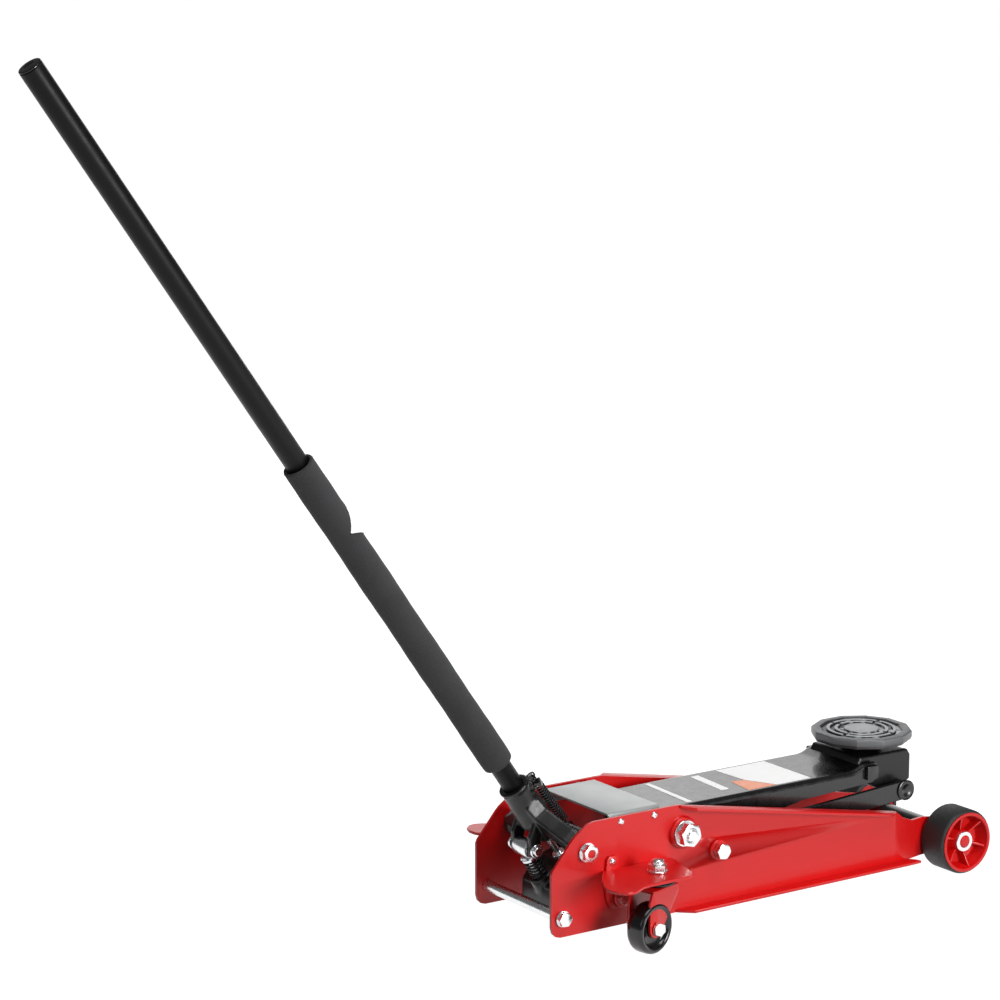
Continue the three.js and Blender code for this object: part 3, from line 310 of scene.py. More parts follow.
def closeMesh():
    bpy.ops.mesh.select_mode(type="VERT")
    bpy.ops.mesh.select_all(action="SELECT")
    bpy.ops.mesh.remove_doubles(threshold=0.002 * mm)
    bpy.ops.mesh.normals_make_consistent(inside=False)
    bpy.ops.object.mode_set(mode="OBJECT")


def applied(piece, kind, settings):
    onlyThis(piece)
    modifier = piece.modifiers.new("step", kind)
    for key, value in settings.items():
        setattr(modifier, key, value)
    bpy.ops.object.modifier_apply(modifier=modifier.name)
    return piece


# Leaves the piece in edit mode with the edges that pass a test of their two ends selected.
def pickEdges(piece, test):
    onlyThis(piece)
    bpy.ops.object.mode_set(mode="EDIT")
    bpy.ops.mesh.select_mode(type="EDGE")
    bpy.ops.mesh.select_all(action="DESELECT")
    bpy.ops.object.mode_set(mode="OBJECT")
    for e in piece.data.edges:
        e.select = bool(test(*[piece.data.vertices[i].co for i in e.vertices]))
    bpy.ops.object.mode_set(mode="EDIT")


def eased(piece, width, segments=2, angle=32):
    return applied(piece, "BEVEL", {
        "width": width * mm, "segments": segments, "limit_method": "ANGLE",
        "angle_limit": math.radians(angle), "use_clamp_overlap": True})


def smoothed(piece, angle=38):
    onlyThis(piece)
    bpy.ops.object.shade_smooth_by_angle(angle=math.radians(angle))
    return piece


# A profile of (radius, distance along the axis) spun about the axis through a point.
def spunPiece(name, at, axis, profile, steps=64, ease=0):
    aside = acrossY.cross(axis)
    if aside.length < 0.5:
        aside = alongX
    aside = aside.normalized()
    points = [at + aside * r * mm + axis * h * mm for r, h in profile]
    piece = startPoint(name, points[0])
    drawThrough(points)
    bpy.ops.mesh.select_all(action="SELECT")
    bpy.ops.mesh.spin(steps=steps, angle=math.tau, center=at, axis=axis)
    closeMesh()
    if ease:
        eased(piece, ease)
    return smoothed(piece)


# A closed outline filled and extruded by a vector; corners rounds each outline vertex.
def sheetPiece(name, points, depth, corners=0, ease=0, holes=()):
    piece = startPoint(name, points[0])
    drawThrough(points)
    bpy.ops.mesh.select_all(action="SELECT")
    bpy.ops.mesh.edge_face_add()
    if corners:
        bpy.ops.mesh.bevel(offset=corners * mm, segments=5, affect="VERTICES")
        bpy.ops.mesh.select_all(action="SELECT")
    bpy.ops.mesh.extrude_region_move(TRANSFORM_OT_translate={"value": depth})
    closeMesh()
    for at, axis, radius in holes:
        carve(piece, [barPiece("drill", at, axis, radius, -200, 200)])
    if ease:
        eased(piece, ease)
    return smoothed(piece)


def arcPoints(at, radius, first, last, count, right=alongX, up=upZ):
    turns = [math.radians(first + (last - first) * i / count) for i in range(count + 1)]
    return [at + (right * math.cos(a) + up * math.sin(a)) * radius * mm for a in turns]


def barPiece(name, at, axis, radius, start, end, ease=0, steps=48):
    return spunPiece(name, at, axis, [(0, start), (radius, start), (radius, end), (0, end)], steps, ease)


def mixed(piece, others, operation):
    for other in others:
        applied(piece, "BOOLEAN", {"object": other, "operation": operation, "solver": "EXACT"})
        bpy.data.objects.remove(other)
    return smoothed(piece)


def carve(piece, cutters):
    return mixed(piece, cutters, "DIFFERENCE")


def fuse(piece, others):
    return mixed(piece, others, "UNION")


# Runs the joints of a casting together as a mould does: remeshed and relaxed.
def castTogether(piece, voxel, relax):
    applied(piece, "REMESH", {"mode": "VOXEL", "voxel_size": voxel * mm, "use_smooth_shade": True})
    applied(piece, "SMOOTH", {"factor": 0.5, "iterations": relax})
    return piece


def turnedBy(piece, angle, axis, centre):
    turn = Matrix.Translation(centre) @ Matrix.Rotation(angle, 4, axis) @ Matrix.Translation(-centre)
    piece.data.transform(turn)
    return piece


def copied(piece, name):
    twin = piece.copy()
    twin.data = piece.data.copy()
    twin.name = name
    bpy.context.scene.collection.objects.link(twin)
    return twin


# The other side's copy, mirrored across the centre line.
def mirroredCopy(piece, name):
    twin = copied(piece, name)
    onlyThis(twin)
    bpy.ops.object.mode_set(mode="EDIT")
    bpy.ops.mesh.select_all(action="SELECT")
    bpy.ops.transform.resize(value=(1, -1, 1), center_override=(0, 0, 0))
    bpy.ops.mesh.flip_normals()
    bpy.ops.object.mode_set(mode="OBJECT")
    return twin


def settle(piece, body, finish, slot, *nodes):
    piece.data.materials.clear()
    piece.data.materials.append(finish)
    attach(piece, body)
    if nodes:
        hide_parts(*nodes)
    return piece


# A left piece and its mirrored twin, each standing for its own node; bodies may differ.
def settlePair(piece, bodies, finish, slot, node=None):
    name = piece.name
    piece.name = name + "_left"
    twin = mirroredCopy(piece, name + "_right")
    settle(piece, bodies[0], finish, slot, *([node + "_left"] if node else []))
    settle(twin, bodies[1], finish, slot, *([node + "_right"] if node else []))


onFrame = ("frame", "frame")

# side plates: pressed sheet with an inward-stepped nose, outward flanges and welded bosses
plate = {
    "inner": 82.4, "sheet": 4, "top": 167, "noseIn": 13.4,
    "bendAt": (570, 630), "slopeAt": (199, 570), "slopeEnd": 97, "edge": 0.7,
}
plateOuter = plate["inner"] + plate["sheet"]
mainAt = pivotOf("lift_arm_raise")
rodAt = pivotOf("radius_rod_left_swing")
frontAt = pivotOf("bracket_level")
axleAt = pivotOf("front_wheel_roll_left")
tieAt = middleOf("rear_tie_rod")
unitAt = Vector((middleOf("power_unit_bolt_left").x, 0, middleOf("power_unit_bolt_left").z))
leverAt = middleOf("lever_pin")
rodFrontAt = middleOf("rod_front_pin")


def slopeZ(x):
    (x0, x1), z1 = plate["slopeAt"], plate["slopeEnd"]
    return plate["top"] + (z1 - plate["top"]) * (x - x0) / (x1 - x0)


def makeSidePlate():
    outline = [
        (0, 38), (2, 30), (7, 25), (14, 23), (570, 23), (630, 23), (671, 23), (683, 27), (691, 36),
        (693, 46), (690, 56), (681, 65), (666, 70), (640, 75), (600, 80), (584, 86), (570, 97),
        (205, 165.9), (199, 166.8), (192, 167), (66, 167), (56, 165), (36, 151), (30, 145), (2, 112),
        (0, 107)]
    piece = sheetPiece("side_plate", [spot(x, plate["inner"], z) for x, z in outline],
                       acrossY * plate["sheet"] * mm)
    onlyThis(piece)
    bpy.ops.object.mode_set(mode="EDIT")
    for x in plate["bendAt"]:
        bpy.ops.mesh.select_all(action="SELECT")
        bpy.ops.mesh.bisect(plane_co=spot(x, 0, 0), plane_no=alongX)
    bpy.ops.mesh.select_all(action="DESELECT")
    bpy.ops.object.mode_set(mode="OBJECT")
    for v in piece.data.vertices:
        v.select = v.co.x > spot(plate["bendAt"][1] - 0.5, 0, 0).x
    bpy.ops.object.mode_set(mode="EDIT")
    bpy.ops.transform.translate(value=(0, -plate["noseIn"] * mm, 0))
    bpy.ops.mesh.select_all(action="SELECT")
    bpy.ops.object.mode_set(mode="OBJECT")
    holes = [(mainAt, 9.4), (rodAt, 7.4), (yokeAt, 8.4), (tieAt, 5.4), (unitAt, 5.4), (axleAt, 10.4)]
    carve(piece, [barPiece("drill", at, acrossY, r, 50, 130) for at, r in holes])
    eased(piece, plate["edge"])
    top = [
        (201, plateOuter - 2), (201, plateOuter + 2), (217, plateOuter + 18), (540, plateOuter + 18),
        (553, plateOuter + 14), (570, plateOuter + 0.5), (570, plateOuter - 2)]
    overSlope = Vector((0.185, 0, 0.983))
    flange = sheetPiece("flange", [spot(x, y, slopeZ(x) - 4) for x, y in top], overSlope * 4 * mm, ease=0.8)
    low = [
        (198, plateOuter - 2), (198, plateOuter + 2), (216, plateOuter + 18), (578, plateOuter + 18),
        (603, plateOuter + 17), (600, plateOuter + 9), (588, plateOuter - 7), (566, plateOuter - 3)]
    foot = sheetPiece("foot", [spot(x, y, 23) for x, y in low], upZ * 4 * mm, ease=0.8)
    bosses = [
        spunPiece("boss", mainAt, acrossY, [
            (9.4, 84), (9.4, 92.4), (19.4, 92.4), (21, 90.8), (21, 87.5), (23, 85), (9.4, 84)], 64),
        spunPiece("boss", mainAt, acrossY, [
            (9.4, 60.6), (17, 60.6), (18, 61.6), (18, 84), (9.4, 84), (9.4, 60.6)]),
        spunPiece("boss", rodAt, acrossY, [
            (7.4, 84), (7.4, 94.4), (12.8, 94.4), (14, 93.2), (14, 88), (16, 85.5), (7.4, 84)], 56),
        spunPiece("boss", unitAt, acrossY, [
            (5.4, 84), (5.4, 94.4), (11, 94.4), (12, 93.4), (12, 85.5), (5.4, 84)]),
        spunPiece("boss", axleAt, acrossY, [
            (10.4, 69.5), (10.4, 74.6), (15, 74.6), (16, 73.6), (16, 69.5), (10.4, 69.5)]),
    ]
    fuse(piece, [flange, foot] + bosses)
    settlePair(piece, onFrame, redEnamel, "red_enamel", "side_plate")


makeSidePlate()
print("side plates")

# cover: folded sheet with rolled long edges, standing on four bushes
cover = {"rear": 98, "front": 179, "half": 73.7, "top": 168, "skirt": 20, "sheet": 3, "roll": 5,
         "bushes": ((108, 158), (161, 158))}


def makeCover():
    bpy.ops.object.select_all(action="DESELECT")
    centre = spot((cover["rear"] + cover["front"]) / 2, 0, cover["top"] - cover["skirt"] / 2)
    bpy.ops.mesh.primitive_cube_add(size=1, location=centre, scale=(
        (cover["front"] - cover["rear"]) * mm, 2 * cover["half"] * mm, cover["skirt"] * mm))
    piece = bpy.context.object
    piece.name = "top_cover_sheet"
    bpy.ops.object.transform_apply(location=True, rotation=True, scale=True)
    for f in piece.data.polygons:
        f.select = f.normal.z < -0.5 or abs(f.normal.x) > 0.5
    sides = [f.select for f in piece.data.polygons]
    bpy.ops.object.mode_set(mode="EDIT")
    bpy.ops.mesh.select_mode(type="FACE")
    bpy.ops.mesh.select_all(action="DESELECT")
    bpy.ops.object.mode_set(mode="OBJECT")
    piece.data.polygons.foreach_set("select", sides)
    bpy.ops.object.mode_set(mode="EDIT")
    bpy.ops.mesh.delete(type="FACE")
    bpy.ops.object.mode_set(mode="OBJECT")
    topZ = spot(0, 0, cover["top"] - 1).z
    pickEdges(piece, lambda a, b: abs(a.y - b.y) < mm and min(a.z, b.z) > topZ)
    bpy.ops.mesh.bevel(offset=cover["roll"] * mm, segments=6)
    bpy.ops.mesh.select_mode(type="VERT")
    bpy.ops.mesh.select_all(action="SELECT")
    bpy.ops.mesh.normals_make_consistent(inside=False)
    bpy.ops.object.mode_set(mode="OBJECT")
    applied(piece, "SOLIDIFY", {"thickness": cover["sheet"] * mm, "offset": -1})
    eased(piece, 0.5)
    bushes = [barPiece("bush", spot(x, 0, z), acrossY, 7, s * (cover["half"] - 1), s * 82, 0.5)
              for x, z in cover["bushes"] for s in (1, -1)]
    fuse(piece, bushes)
    settle(piece, "frame", silverEnamel, "grey_enamel", "top_cover")


makeCover()
print("cover")


# hexagon head: prism with its corners turned off to a chamfer, as forged nuts have
def hexPiece(name, at, axis, flats, start, end, turn=0, crown=0.26):
    aside = acrossY.cross(axis)
    aside = aside.normalized() if aside.length > 0.5 else alongX
    other = axis.cross(aside)
    corner = flats / math.sqrt(3)
    piece = sheetPiece(name, arcPoints(at + axis * start * mm, corner, turn, turn + 300, 5, aside, other),
                       axis * (end - start) * mm)
    slope = (corner - flats / 2) * crown * 2.4
    sign = 1 if end > start else -1
    cone = spunPiece("chamfer", at, axis, [
        (0, start - sign), (corner + 1, start - sign), (corner + 1, end - sign * (slope + 0.45)),
        (flats / 2 - 0.6, end), (0, end)], 64)
    return smoothed(mixed(eased(piece, 0.35), [cone], "INTERSECT"), 30)


nut = {"flats": 28}


def makeFrameFasteners():
    seat = plateOuter + 6.3
    piece = hexPiece("main_pivot_nut", mainAt, acrossY, nut["flats"], seat + 2, seat + 15.6, 14)
    washer = spunPiece("washer", mainAt, acrossY, [
        (9.4, seat), (17, seat), (17.5, seat + 0.5), (17.5, seat + 2), (17, seat + 2.5),
        (9.4, seat + 2.5), (9.4, seat)])
    fuse(piece, [washer])
    bore = spunPiece("bore", mainAt, acrossY, [
        (0, 80), (9.4, 80), (9.4, seat + 13.6), (11, seat + 16), (0, seat + 16)])
    carve(piece, [bore])
    settlePair(piece, onFrame, zincPlate, "zinc_plate", "main_pivot_nut")

    ring = [(9 if i % 2 else 8.3, 95 + i * 0.75) for i in range(17)]  # thread crests 1.5 mm apart
    half = ring + [(7.6, 108.6), (6, 109.9), (0, 110)]
    profile = [(0, -110)] + [(r, -h) for r, h in reversed(half[:-1])] + [
        (9, -60), (12, -60), (12, 60), (9, 60)] + half
    shaft = spunPiece("main_pivot_bar", mainAt, acrossY, profile)
    settle(shaft, "frame", zincPlate, "zinc_plate", "main_pivot_shaft")

    base = plateOuter + 8.3
    piece = hexPiece("radius_rod_screw", rodAt, acrossY, 19, base, base + 10.7, 8)
    shank = spunPiece("shank", rodAt, acrossY, [
        (0, 60.8), (9, 60.8), (9, 62.2), (7, 62.2), (7, 68.8), (10.5, 68.8), (10.5, 82.1), (7, 82.1),
        (7, base + 1), (0, base + 1)])
    settlePair(fuse(piece, [shank]), onFrame, zincPlate, "zinc_plate", "radius_rod_bolt")

    piece = hexPiece("yoke_screw", yokeAt, acrossY, 20, plateOuter + 2, plateOuter + 12, 20)
    shank = spunPiece("shank", yokeAt, acrossY, [
        (0, 62), (7.4, 62), (8, 62.6), (8, plateOuter + 0.3), (12, plateOuter + 0.3),
        (12.5, plateOuter + 0.8), (12.5, plateOuter + 2.5), (0, plateOuter + 2.5)])
    fuse(piece, [shank])
    carve(piece, [spunPiece("dish", yokeAt, acrossY, [(0, 96.6), (5.6, 96.9), (6.6, 99.5), (0, 99.5)])])
    settlePair(piece, onFrame, zincPlate, "zinc_plate", "yoke_bolt")
    spotPaint = spunPiece("yoke_screw_paint", yokeAt, acrossY, [
        (0, 96.6), (5.4, 96.9), (5.2, 97.6), (0, 97.9)])
    settlePair(spotPaint, onFrame, redEnamel, "red_enamel")

    piece = hexPiece("power_unit_screw", unitAt, acrossY, 16, plateOuter + 8.3, plateOuter + 17, 12)
    fuse(piece, [barPiece("shank", unitAt, acrossY, 5, 60.4, plateOuter + 9, 0.4)])
    settlePair(piece, onFrame, zincPlate, "zinc_plate", "power_unit_bolt")

    piece = hexPiece("rear_tie_screw", tieAt, acrossY, 17, plateOuter + 2, plateOuter + 9, 5)
    shank = spunPiece("shank", tieAt, acrossY, [
        (0, 62.4), (4, 62.4), (4, plateOuter + 0.3), (10, plateOuter + 0.3), (10.5, plateOuter + 0.8),
        (10.5, plateOuter + 2.3), (0, plateOuter + 2.3)])
    settlePair(fuse(piece, [shank]), onFrame, zincPlate, "zinc_plate", "rear_tie_bolt")

    rod = spunPiece("rear_tie_bar", tieAt, acrossY, [
        (4.3, -82.1), (7, -82.1), (7.5, -81.5), (7.5, 81.5), (7, 82.1), (4.3, 82.1), (4.3, 60), (0, 60),
        (0, -60), (4.3, -60), (4.3, -82.1)], 48)
    settle(rod, "frame", zincPlate, "zinc_plate", "rear_tie_rod")
    anchor = barPiece("spring_anchor_bar", middleOf("spring_anchor_rod"), acrossY, 4.5, -82.1, 82.1, 0.6)
    settle(anchor, "frame", zincPlate, "zinc_plate", "spring_anchor_rod")


makeFrameFasteners()
print("frame fasteners")

# pan-head screws through the plate into the cover's bushes, and one over each caster mount
panScrew = {"head": 4.6, "height": 2.6, "places": ((108, 160, 0), (161, 160, 0), (92, 111, 4.3))}


def makePanScrews():
    for i, (x, z, raised) in enumerate(panScrew["places"]):
        base = plateOuter + raised
        at = spot(x, 0, z)
        piece = spunPiece("cover_screw_%d" % (i + 1), at, acrossY, [
            (0, base - 2), (2, base - 2), (2, base), (panScrew["head"], base),
            (panScrew["head"], base + 0.8), (3.9, base + 1.8), (2.6, base + panScrew["height"]),
            (0, base + panScrew["height"] + 0.1)], 32)
        floorAt = at + acrossY * (base + 1.5) * mm
        slots = [sheetPiece("slot", [floorAt + Vector((u, 0, w)) * mm for u, w in (
            (-2.2, -0.45), (2.2, -0.45), (2.2, 0.45), (-2.2, 0.45))], acrossY * 3 * mm)]
        slots.append(turnedBy(copied(slots[0], "slot"), quarter, acrossY, at))
        settlePair(carve(piece, slots), onFrame, zincPlate, "zinc_plate")


makePanScrews()
print("pan screws")

# front axle, spacer and rings

def makeAxle():
    piece = spunPiece("front_axle_bar", axleAt, acrossY, [
        (0, -117), (7, -117), (8.5, -115.5), (8.5, -112.5), (10, -112.5), (10, 112.5), (8.5, 112.5),
        (8.5, 115.5), (7, 117), (0, 117)], 48, 0.3)
    settle(piece, "frame", redEnamel, "red_enamel", "front_axle")
    tube = spunPiece("axle_spacer_tube", axleAt, acrossY, [
        (10.4, -68.2), (14.4, -68.2), (15, -67.6), (15, 67.6), (14.4, 68.2), (10.4, 68.2),
        (10.4, -68.2)], 56)
    settle(tube, "frame", blackEnamel, "black_enamel", "axle_spacer")
    ring = spunPiece("axle_end_ring", axleAt, acrossY, [
        (8.8, 112.8), (13.4, 112.8), (14, 113.4), (14, 115), (13.4, 115.6), (8.8, 115.6), (8.8, 112.8)], 48)
    settlePair(ring, onFrame, zincPlate, "zinc_plate", "axle_ring")


makeAxle()
print("axle")

# front wheels: ribbed pressed hub in a solid tyre
wheel = {"inner": 75.2, "outer": 121, "ribs": 6, "ribTurn": 18, "ribHalf": 1.5}


def makeFrontWheels():
    mid = (wheel["inner"] + wheel["outer"]) / 2
    hub = spunPiece("front_hub_casting", axleAt, acrossY, [
        (10.3, 76.2), (15.4, 76.2), (16, 77), (17, mid - 6), (19, mid - 4), (32, mid - 4),
        (34, mid - 6), (34, 77.8), (34.6, 77.2), (37.7, 77.2), (37.7, 119.4), (40.9, 119.4),
        (41.4, 119.9), (41.4, 120.5), (40.9, 121), (37.8, 121), (36.8, 120.2), (33.8, mid + 6),
        (31.5, mid + 3), (19, mid + 1), (17, mid + 3), (15, 111.6), (14.2, 112.4), (10.3, 112.4),
        (10.3, 76.2)], 96)
    ribs = []
    for i in range(wheel["ribs"]):
        outline = [(13, mid), (36.2, mid), (36.5, 117.4), (25, 113), (13, 109.6)]
        rib = sheetPiece("rib", [axleAt + alongX * x * mm + acrossY * y * mm - upZ * wheel["ribHalf"] * mm
                                 for x, y in outline], upZ * 2 * wheel["ribHalf"] * mm, ease=0.7)
        turn = math.radians(360 * i / wheel["ribs"] + wheel["ribTurn"])
        ribs.append(turnedBy(rib, turn, acrossY, axleAt))
    fuse(hub, ribs)
    carve(hub, [barPiece("bore", axleAt, acrossY, 10.3, 60, 130)])
    wheels = ("front_wheel_left", "front_wheel_right")
    settlePair(hub, wheels, redEnamel, "red_enamel", "front_hub")
    tyre = spunPiece("front_tyre_rubber", axleAt, acrossY, [
        (38, 75.2), (41.5, 75.2), (43, 75.8), (44.1, 77), (44.6, 78.6), (44.6, 115), (43.9, 117.2),
        (42.6, 118.4), (41.8, 118.8), (38, 118.8), (38, 75.2)], 96)
    settlePair(tyre, wheels, tyreRubber, "tyre_rubber", "front_tyre")


makeFrontWheels()
print("front wheels")

# caster mounts: bracket plate welded out from the side, its front corner curled up
mount = {"z": 96, "sheet": 4, "edge": 0.8}
kingLeft = Vector(joints["caster_swivel_left"]["pos_m"])
kingLeft.z = 0


def makeCasterMounts():
    skin = plateOuter + 0.3
    outline = [
        (80, skin), (58, 114), (40, 146), (39, 158), (43, 170), (52, 178.5), (61, 180), (70, 177),
        (84, 168), (96, 166.5), (156, 166.5), (163, 165), (169, 159), (182, 104), (184, skin + 6),
        (182, skin)]
    piece = sheetPiece("caster_mount_plate", [spot(x, y, mount["z"]) for x, y in outline],
        upZ * mount["sheet"] * mm)
    onlyThis(piece)
    bpy.ops.object.mode_set(mode="EDIT")
    for x in (148, 158, 168):
        bpy.ops.mesh.select_all(action="SELECT")
        bpy.ops.mesh.bisect(plane_co=spot(x, 0, 0), plane_no=alongX)
    bpy.ops.object.mode_set(mode="OBJECT")
    start = spot(150, 0, 0).x
    for v in piece.data.vertices:  # the pressed lip rises towards the front corner
        v.co.z += max(0, v.co.x - start) ** 2 * 4.2 * min(1, max(0, (v.co.y - skin * mm) / (40 * mm)))
    eased(piece, mount["edge"])
    fold = [
        (80, 99), (182, 99), (177, 92), (170, 84), (128, 50), (122, 48), (96, 48), (90, 50), (84, 60),
        (80, 84)]
    side = sheetPiece("fold", [spot(x, skin, z) for x, z in fold], acrossY * 4 * mm, ease=0.7)
    tab = [(82, 98), (104, 98), (102, 114), (99, 118), (87, 118), (84, 114)]
    ear = sheetPiece("tab", [spot(x, skin, z) for x, z in tab], acrossY * 4 * mm, ease=0.7)
    fuse(piece, [side, ear])
    carve(piece, [
        barPiece("hole", kingLeft, upZ, 7.3, 80, 120), barPiece("hole", unitAt, acrossY, 12.6, 60, 120)])
    settlePair(piece, onFrame, redEnamel, "red_enamel", "caster_mount")


makeCasterMounts()
print("caster mounts")

# casters: nylon wheel in a folded fork under a ball race, swivelled to rest
caster = {"trail": 26, "radius": 34.5, "half": 13, "yaw": -15, "forkTop": 84.4, "legIn": 15, "legOut": 19}
casterAxis = Vector(joints["caster_roll_left"]["axis"]).normalized()
casterBody = ("caster_left", "caster_right")
casterWheelAt = Vector(joints["caster_roll_left"]["pos_m"])


def onCaster(x, y, z):
    a = math.radians(caster["yaw"])
    ahead = Vector((math.cos(a), math.sin(a), 0))
    aside = Vector((-math.sin(a), math.cos(a), 0))
    return Vector((kingLeft.x, kingLeft.y, 0)) + (ahead * x + aside * y + upZ * z) * mm


def makeCasters():
    top, inn, out = caster["forkTop"], caster["legIn"], caster["legOut"]
    right = (onCaster(1, 0, 0) - onCaster(0, 0, 0)) / mm
    across = (onCaster(0, 1, 0) - onCaster(0, 0, 0)) / mm
    crown = sheetPiece("caster_fork_sheet", [onCaster(x, y, top - 4) for x, y in (
        (-31, -out), (19, -out), (20, -out + 1), (20, out - 1), (19, out), (-31, out), (-32, out - 1),
        (-32, 1 - out))],
        upZ * 4 * mm, ease=0.9)
    legs = []
    for side in (1, -1):
        y = inn if side > 0 else -out
        arc = arcPoints(onCaster(-caster["trail"], y, 34.5), 12, -38, -182, 14, right)
        line = [onCaster(20, y, top - 0.5), onCaster(20, y, top - 10), onCaster(14, y, top - 19)] + arc + [
            onCaster(-38, y, top - 15), onCaster(-33, y, top - 3), onCaster(-31, y, top - 0.5)]
        legs.append(sheetPiece("leg", line, across * (out - inn) * mm, ease=0.8))
    fuse(crown, legs)
    carve(crown, [
        barPiece("hole", kingLeft, upZ, 7.3, 60, 100),
        barPiece("hole", casterWheelAt, casterAxis, 5.3, -40, 40)])
    settlePair(crown, casterBody, redEnamel, "red_enamel", "caster_fork")

    race = spunPiece("caster_race", kingLeft, upZ, [
        (7.3, 84.7), (19.5, 84.7), (21.6, 85.4), (23, 87), (23, 88.6), (21.8, 89.4), (21.8, 91),
        (23, 91.8), (23, 93.4), (21.6, 95), (19.5, 95.7), (7.3, 95.7), (7.3, 84.7)], 72)
    settlePair(race, casterBody, castIron, "black_iron", "caster_bearing")

    half, r = caster["half"], caster["radius"]
    side = [
        (5.3, half + 1.2), (11.3, half + 1.2), (12, half + 0.6), (13, half - 3.4), (14, 9), (22.6, 9),
        (24, 9.6), (25.4, half - 1.6), (26.6, half - 0.4), (28.6, half), (31, half - 0.5),
        (33, half - 2.4), (34.1, half - 5), (r, half - 9)]
    wheelShape = side + [(a, -b) for a, b in reversed(side)] + [side[0]]
    disc = spunPiece("caster_wheel_nylon", casterWheelAt, casterAxis, wheelShape, 112)
    pockets = []
    pocketAt = casterWheelAt + right * 18.2 * mm
    for i in range(5):
        for s in (1, -1):
            pocket = barPiece("pocket", pocketAt, casterAxis, 2.6, s * 7, s * 12, 0, 24)
            pockets.append(turnedBy(pocket, math.radians(72 * i + 20), casterAxis, casterWheelAt))
    carve(disc, pockets)
    settlePair(disc, ("caster_wheel_left", "caster_wheel_right"), mouldedNylon, "caster_nylon",
        "caster_wheel")

    bolt = hexPiece("caster_screw", casterWheelAt, casterAxis, 16, out + 0.3, out + 7, 24)
    shank = barPiece("shank", casterWheelAt, casterAxis, 5, -out - 1, out + 1)
    back = hexPiece("back", casterWheelAt, casterAxis, 16, -out - 0.3, -out - 7, 6)
    settlePair(fuse(bolt, [shank, back]), casterBody, zincPlate, "zinc_plate", "caster_bolt")

    pin = hexPiece("kingpin_nut", kingLeft, upZ, 22, 102.6, 111, 22)
    rest = spunPiece("rest", kingLeft, upZ, [
        (0, 73), (9.4, 73), (10, 73.6), (10, 79.4), (7, 79.4), (7, 100.3), (13, 100.3), (13.5, 100.8),
        (13.5, 102.6), (13, 103.1), (0, 103.1)], 64)
    dome = spunPiece("dome", kingLeft, upZ, [
        (0, 110), (8.5, 110), (8.5, 113), (8, 114.8), (6.8, 116.2), (5, 117.2), (2.6, 117.6),
        (0, 117.6)], 56)
    settlePair(fuse(pin, [rest, dome]), onFrame, zincPlate, "zinc_plate", "kingpin")


makeCasters()
print("casters")

# lift arm: one sheet folded to a channel, with a pivot tube and two lever plates
arm = {"half": 60, "sheet": 5, "top": 155, "fold": 7}


def makeLiftArm():
    low = arcPoints(mainAt, 22, 150, 300, 20)
    nose = arcPoints(frontAt, 15, -90, 60, 18)
    outline = low + [spot(300, 0, 108), spot(430, 0, 130)] + nose + [
        spot(540, 0, 163), spot(533, 0, 161.5), spot(521, 0, 156.5), spot(512, 0, 155), spot(192, 0, 155)]
    shift = acrossY * arm["half"] * mm
    piece = sheetPiece("lift_arm_channel", [p - shift for p in outline], shift * 2)
    topZ = spot(0, 0, arm["top"] - 0.5).z
    pickEdges(piece, lambda a, b: abs(a.y - b.y) < mm and min(a.z, b.z) > topZ and abs(a.x - b.x) > 5 * mm)
    bpy.ops.mesh.bevel(offset=arm["fold"] * mm, segments=6)
    closeMesh()
    inner = arm["half"] - arm["sheet"]
    hollow = sheetPiece("hollow", [spot(x, -inner, z) for x, z in (
        (150, 60), (620, 60), (620, 180), (541, 180), (536, 157.5), (521, 151.5), (512, 150), (150, 150))],
        acrossY * 2 * inner * mm)
    carve(piece, [hollow])
    eased(piece, 0.6)
    tube = spunPiece("pivot_tube", mainAt, acrossY, [
        (0, -59.8), (17.4, -59.8), (18, -59.2), (18, 59.2), (17.4, 59.8), (0, 59.8)])
    lever = arcPoints(mainAt, 21.8, -30, 150, 24) + arcPoints(leverAt, 15, 160, 330, 20)
    plates = [sheetPiece("lever", [p + acrossY * y * mm for p in lever], acrossY * 9 * mm, ease=0.7)
              for y in (18, -27)]
    fuse(piece, [tube] + plates)
    carve(piece, [
        barPiece("hole", mainAt, acrossY, 12.3, -80, 80), barPiece("hole", frontAt, acrossY, 9.3, -80, 80),
        barPiece("hole", leverAt, acrossY, 9.3, -40, 40)])
    settle(piece, "arm", blackEnamel, "black_enamel", "lift_arm")
    pin = spunPiece("lever_pin_bar", leverAt, acrossY, [
        (0, -30), (11.4, -30), (12, -29.4), (12, -27.4), (9, -27.4), (9, 27.4), (12, 27.4), (12, 29.4),
        (11.4, 30), (0, 30)])
    settle(pin, "arm", zincPlate, "zinc_plate", "lever_pin")
    pin = barPiece("bracket_pin_bar", frontAt, acrossY, 9, -62, 62)
    for s in (1, -1):
        head = [frontAt + alongX * x * mm + upZ * z * mm + acrossY * s * 60.3 * mm
                for x, z in ((-9, -10), (9, -10), (9, 10), (-9, 10))]
        fuse(pin, [sheetPiece("head", head, acrossY * s * 5.5 * mm, 2.2, 0.7)])
    settle(pin, "arm", blackEnamel, "black_enamel", "bracket_pin")


makeLiftArm()
print("lift arm")

# blank labels on the arm's top: two narrow stripes and a wide panel with an orange corner
label = {"thick": 0.25, "round": 1.2}


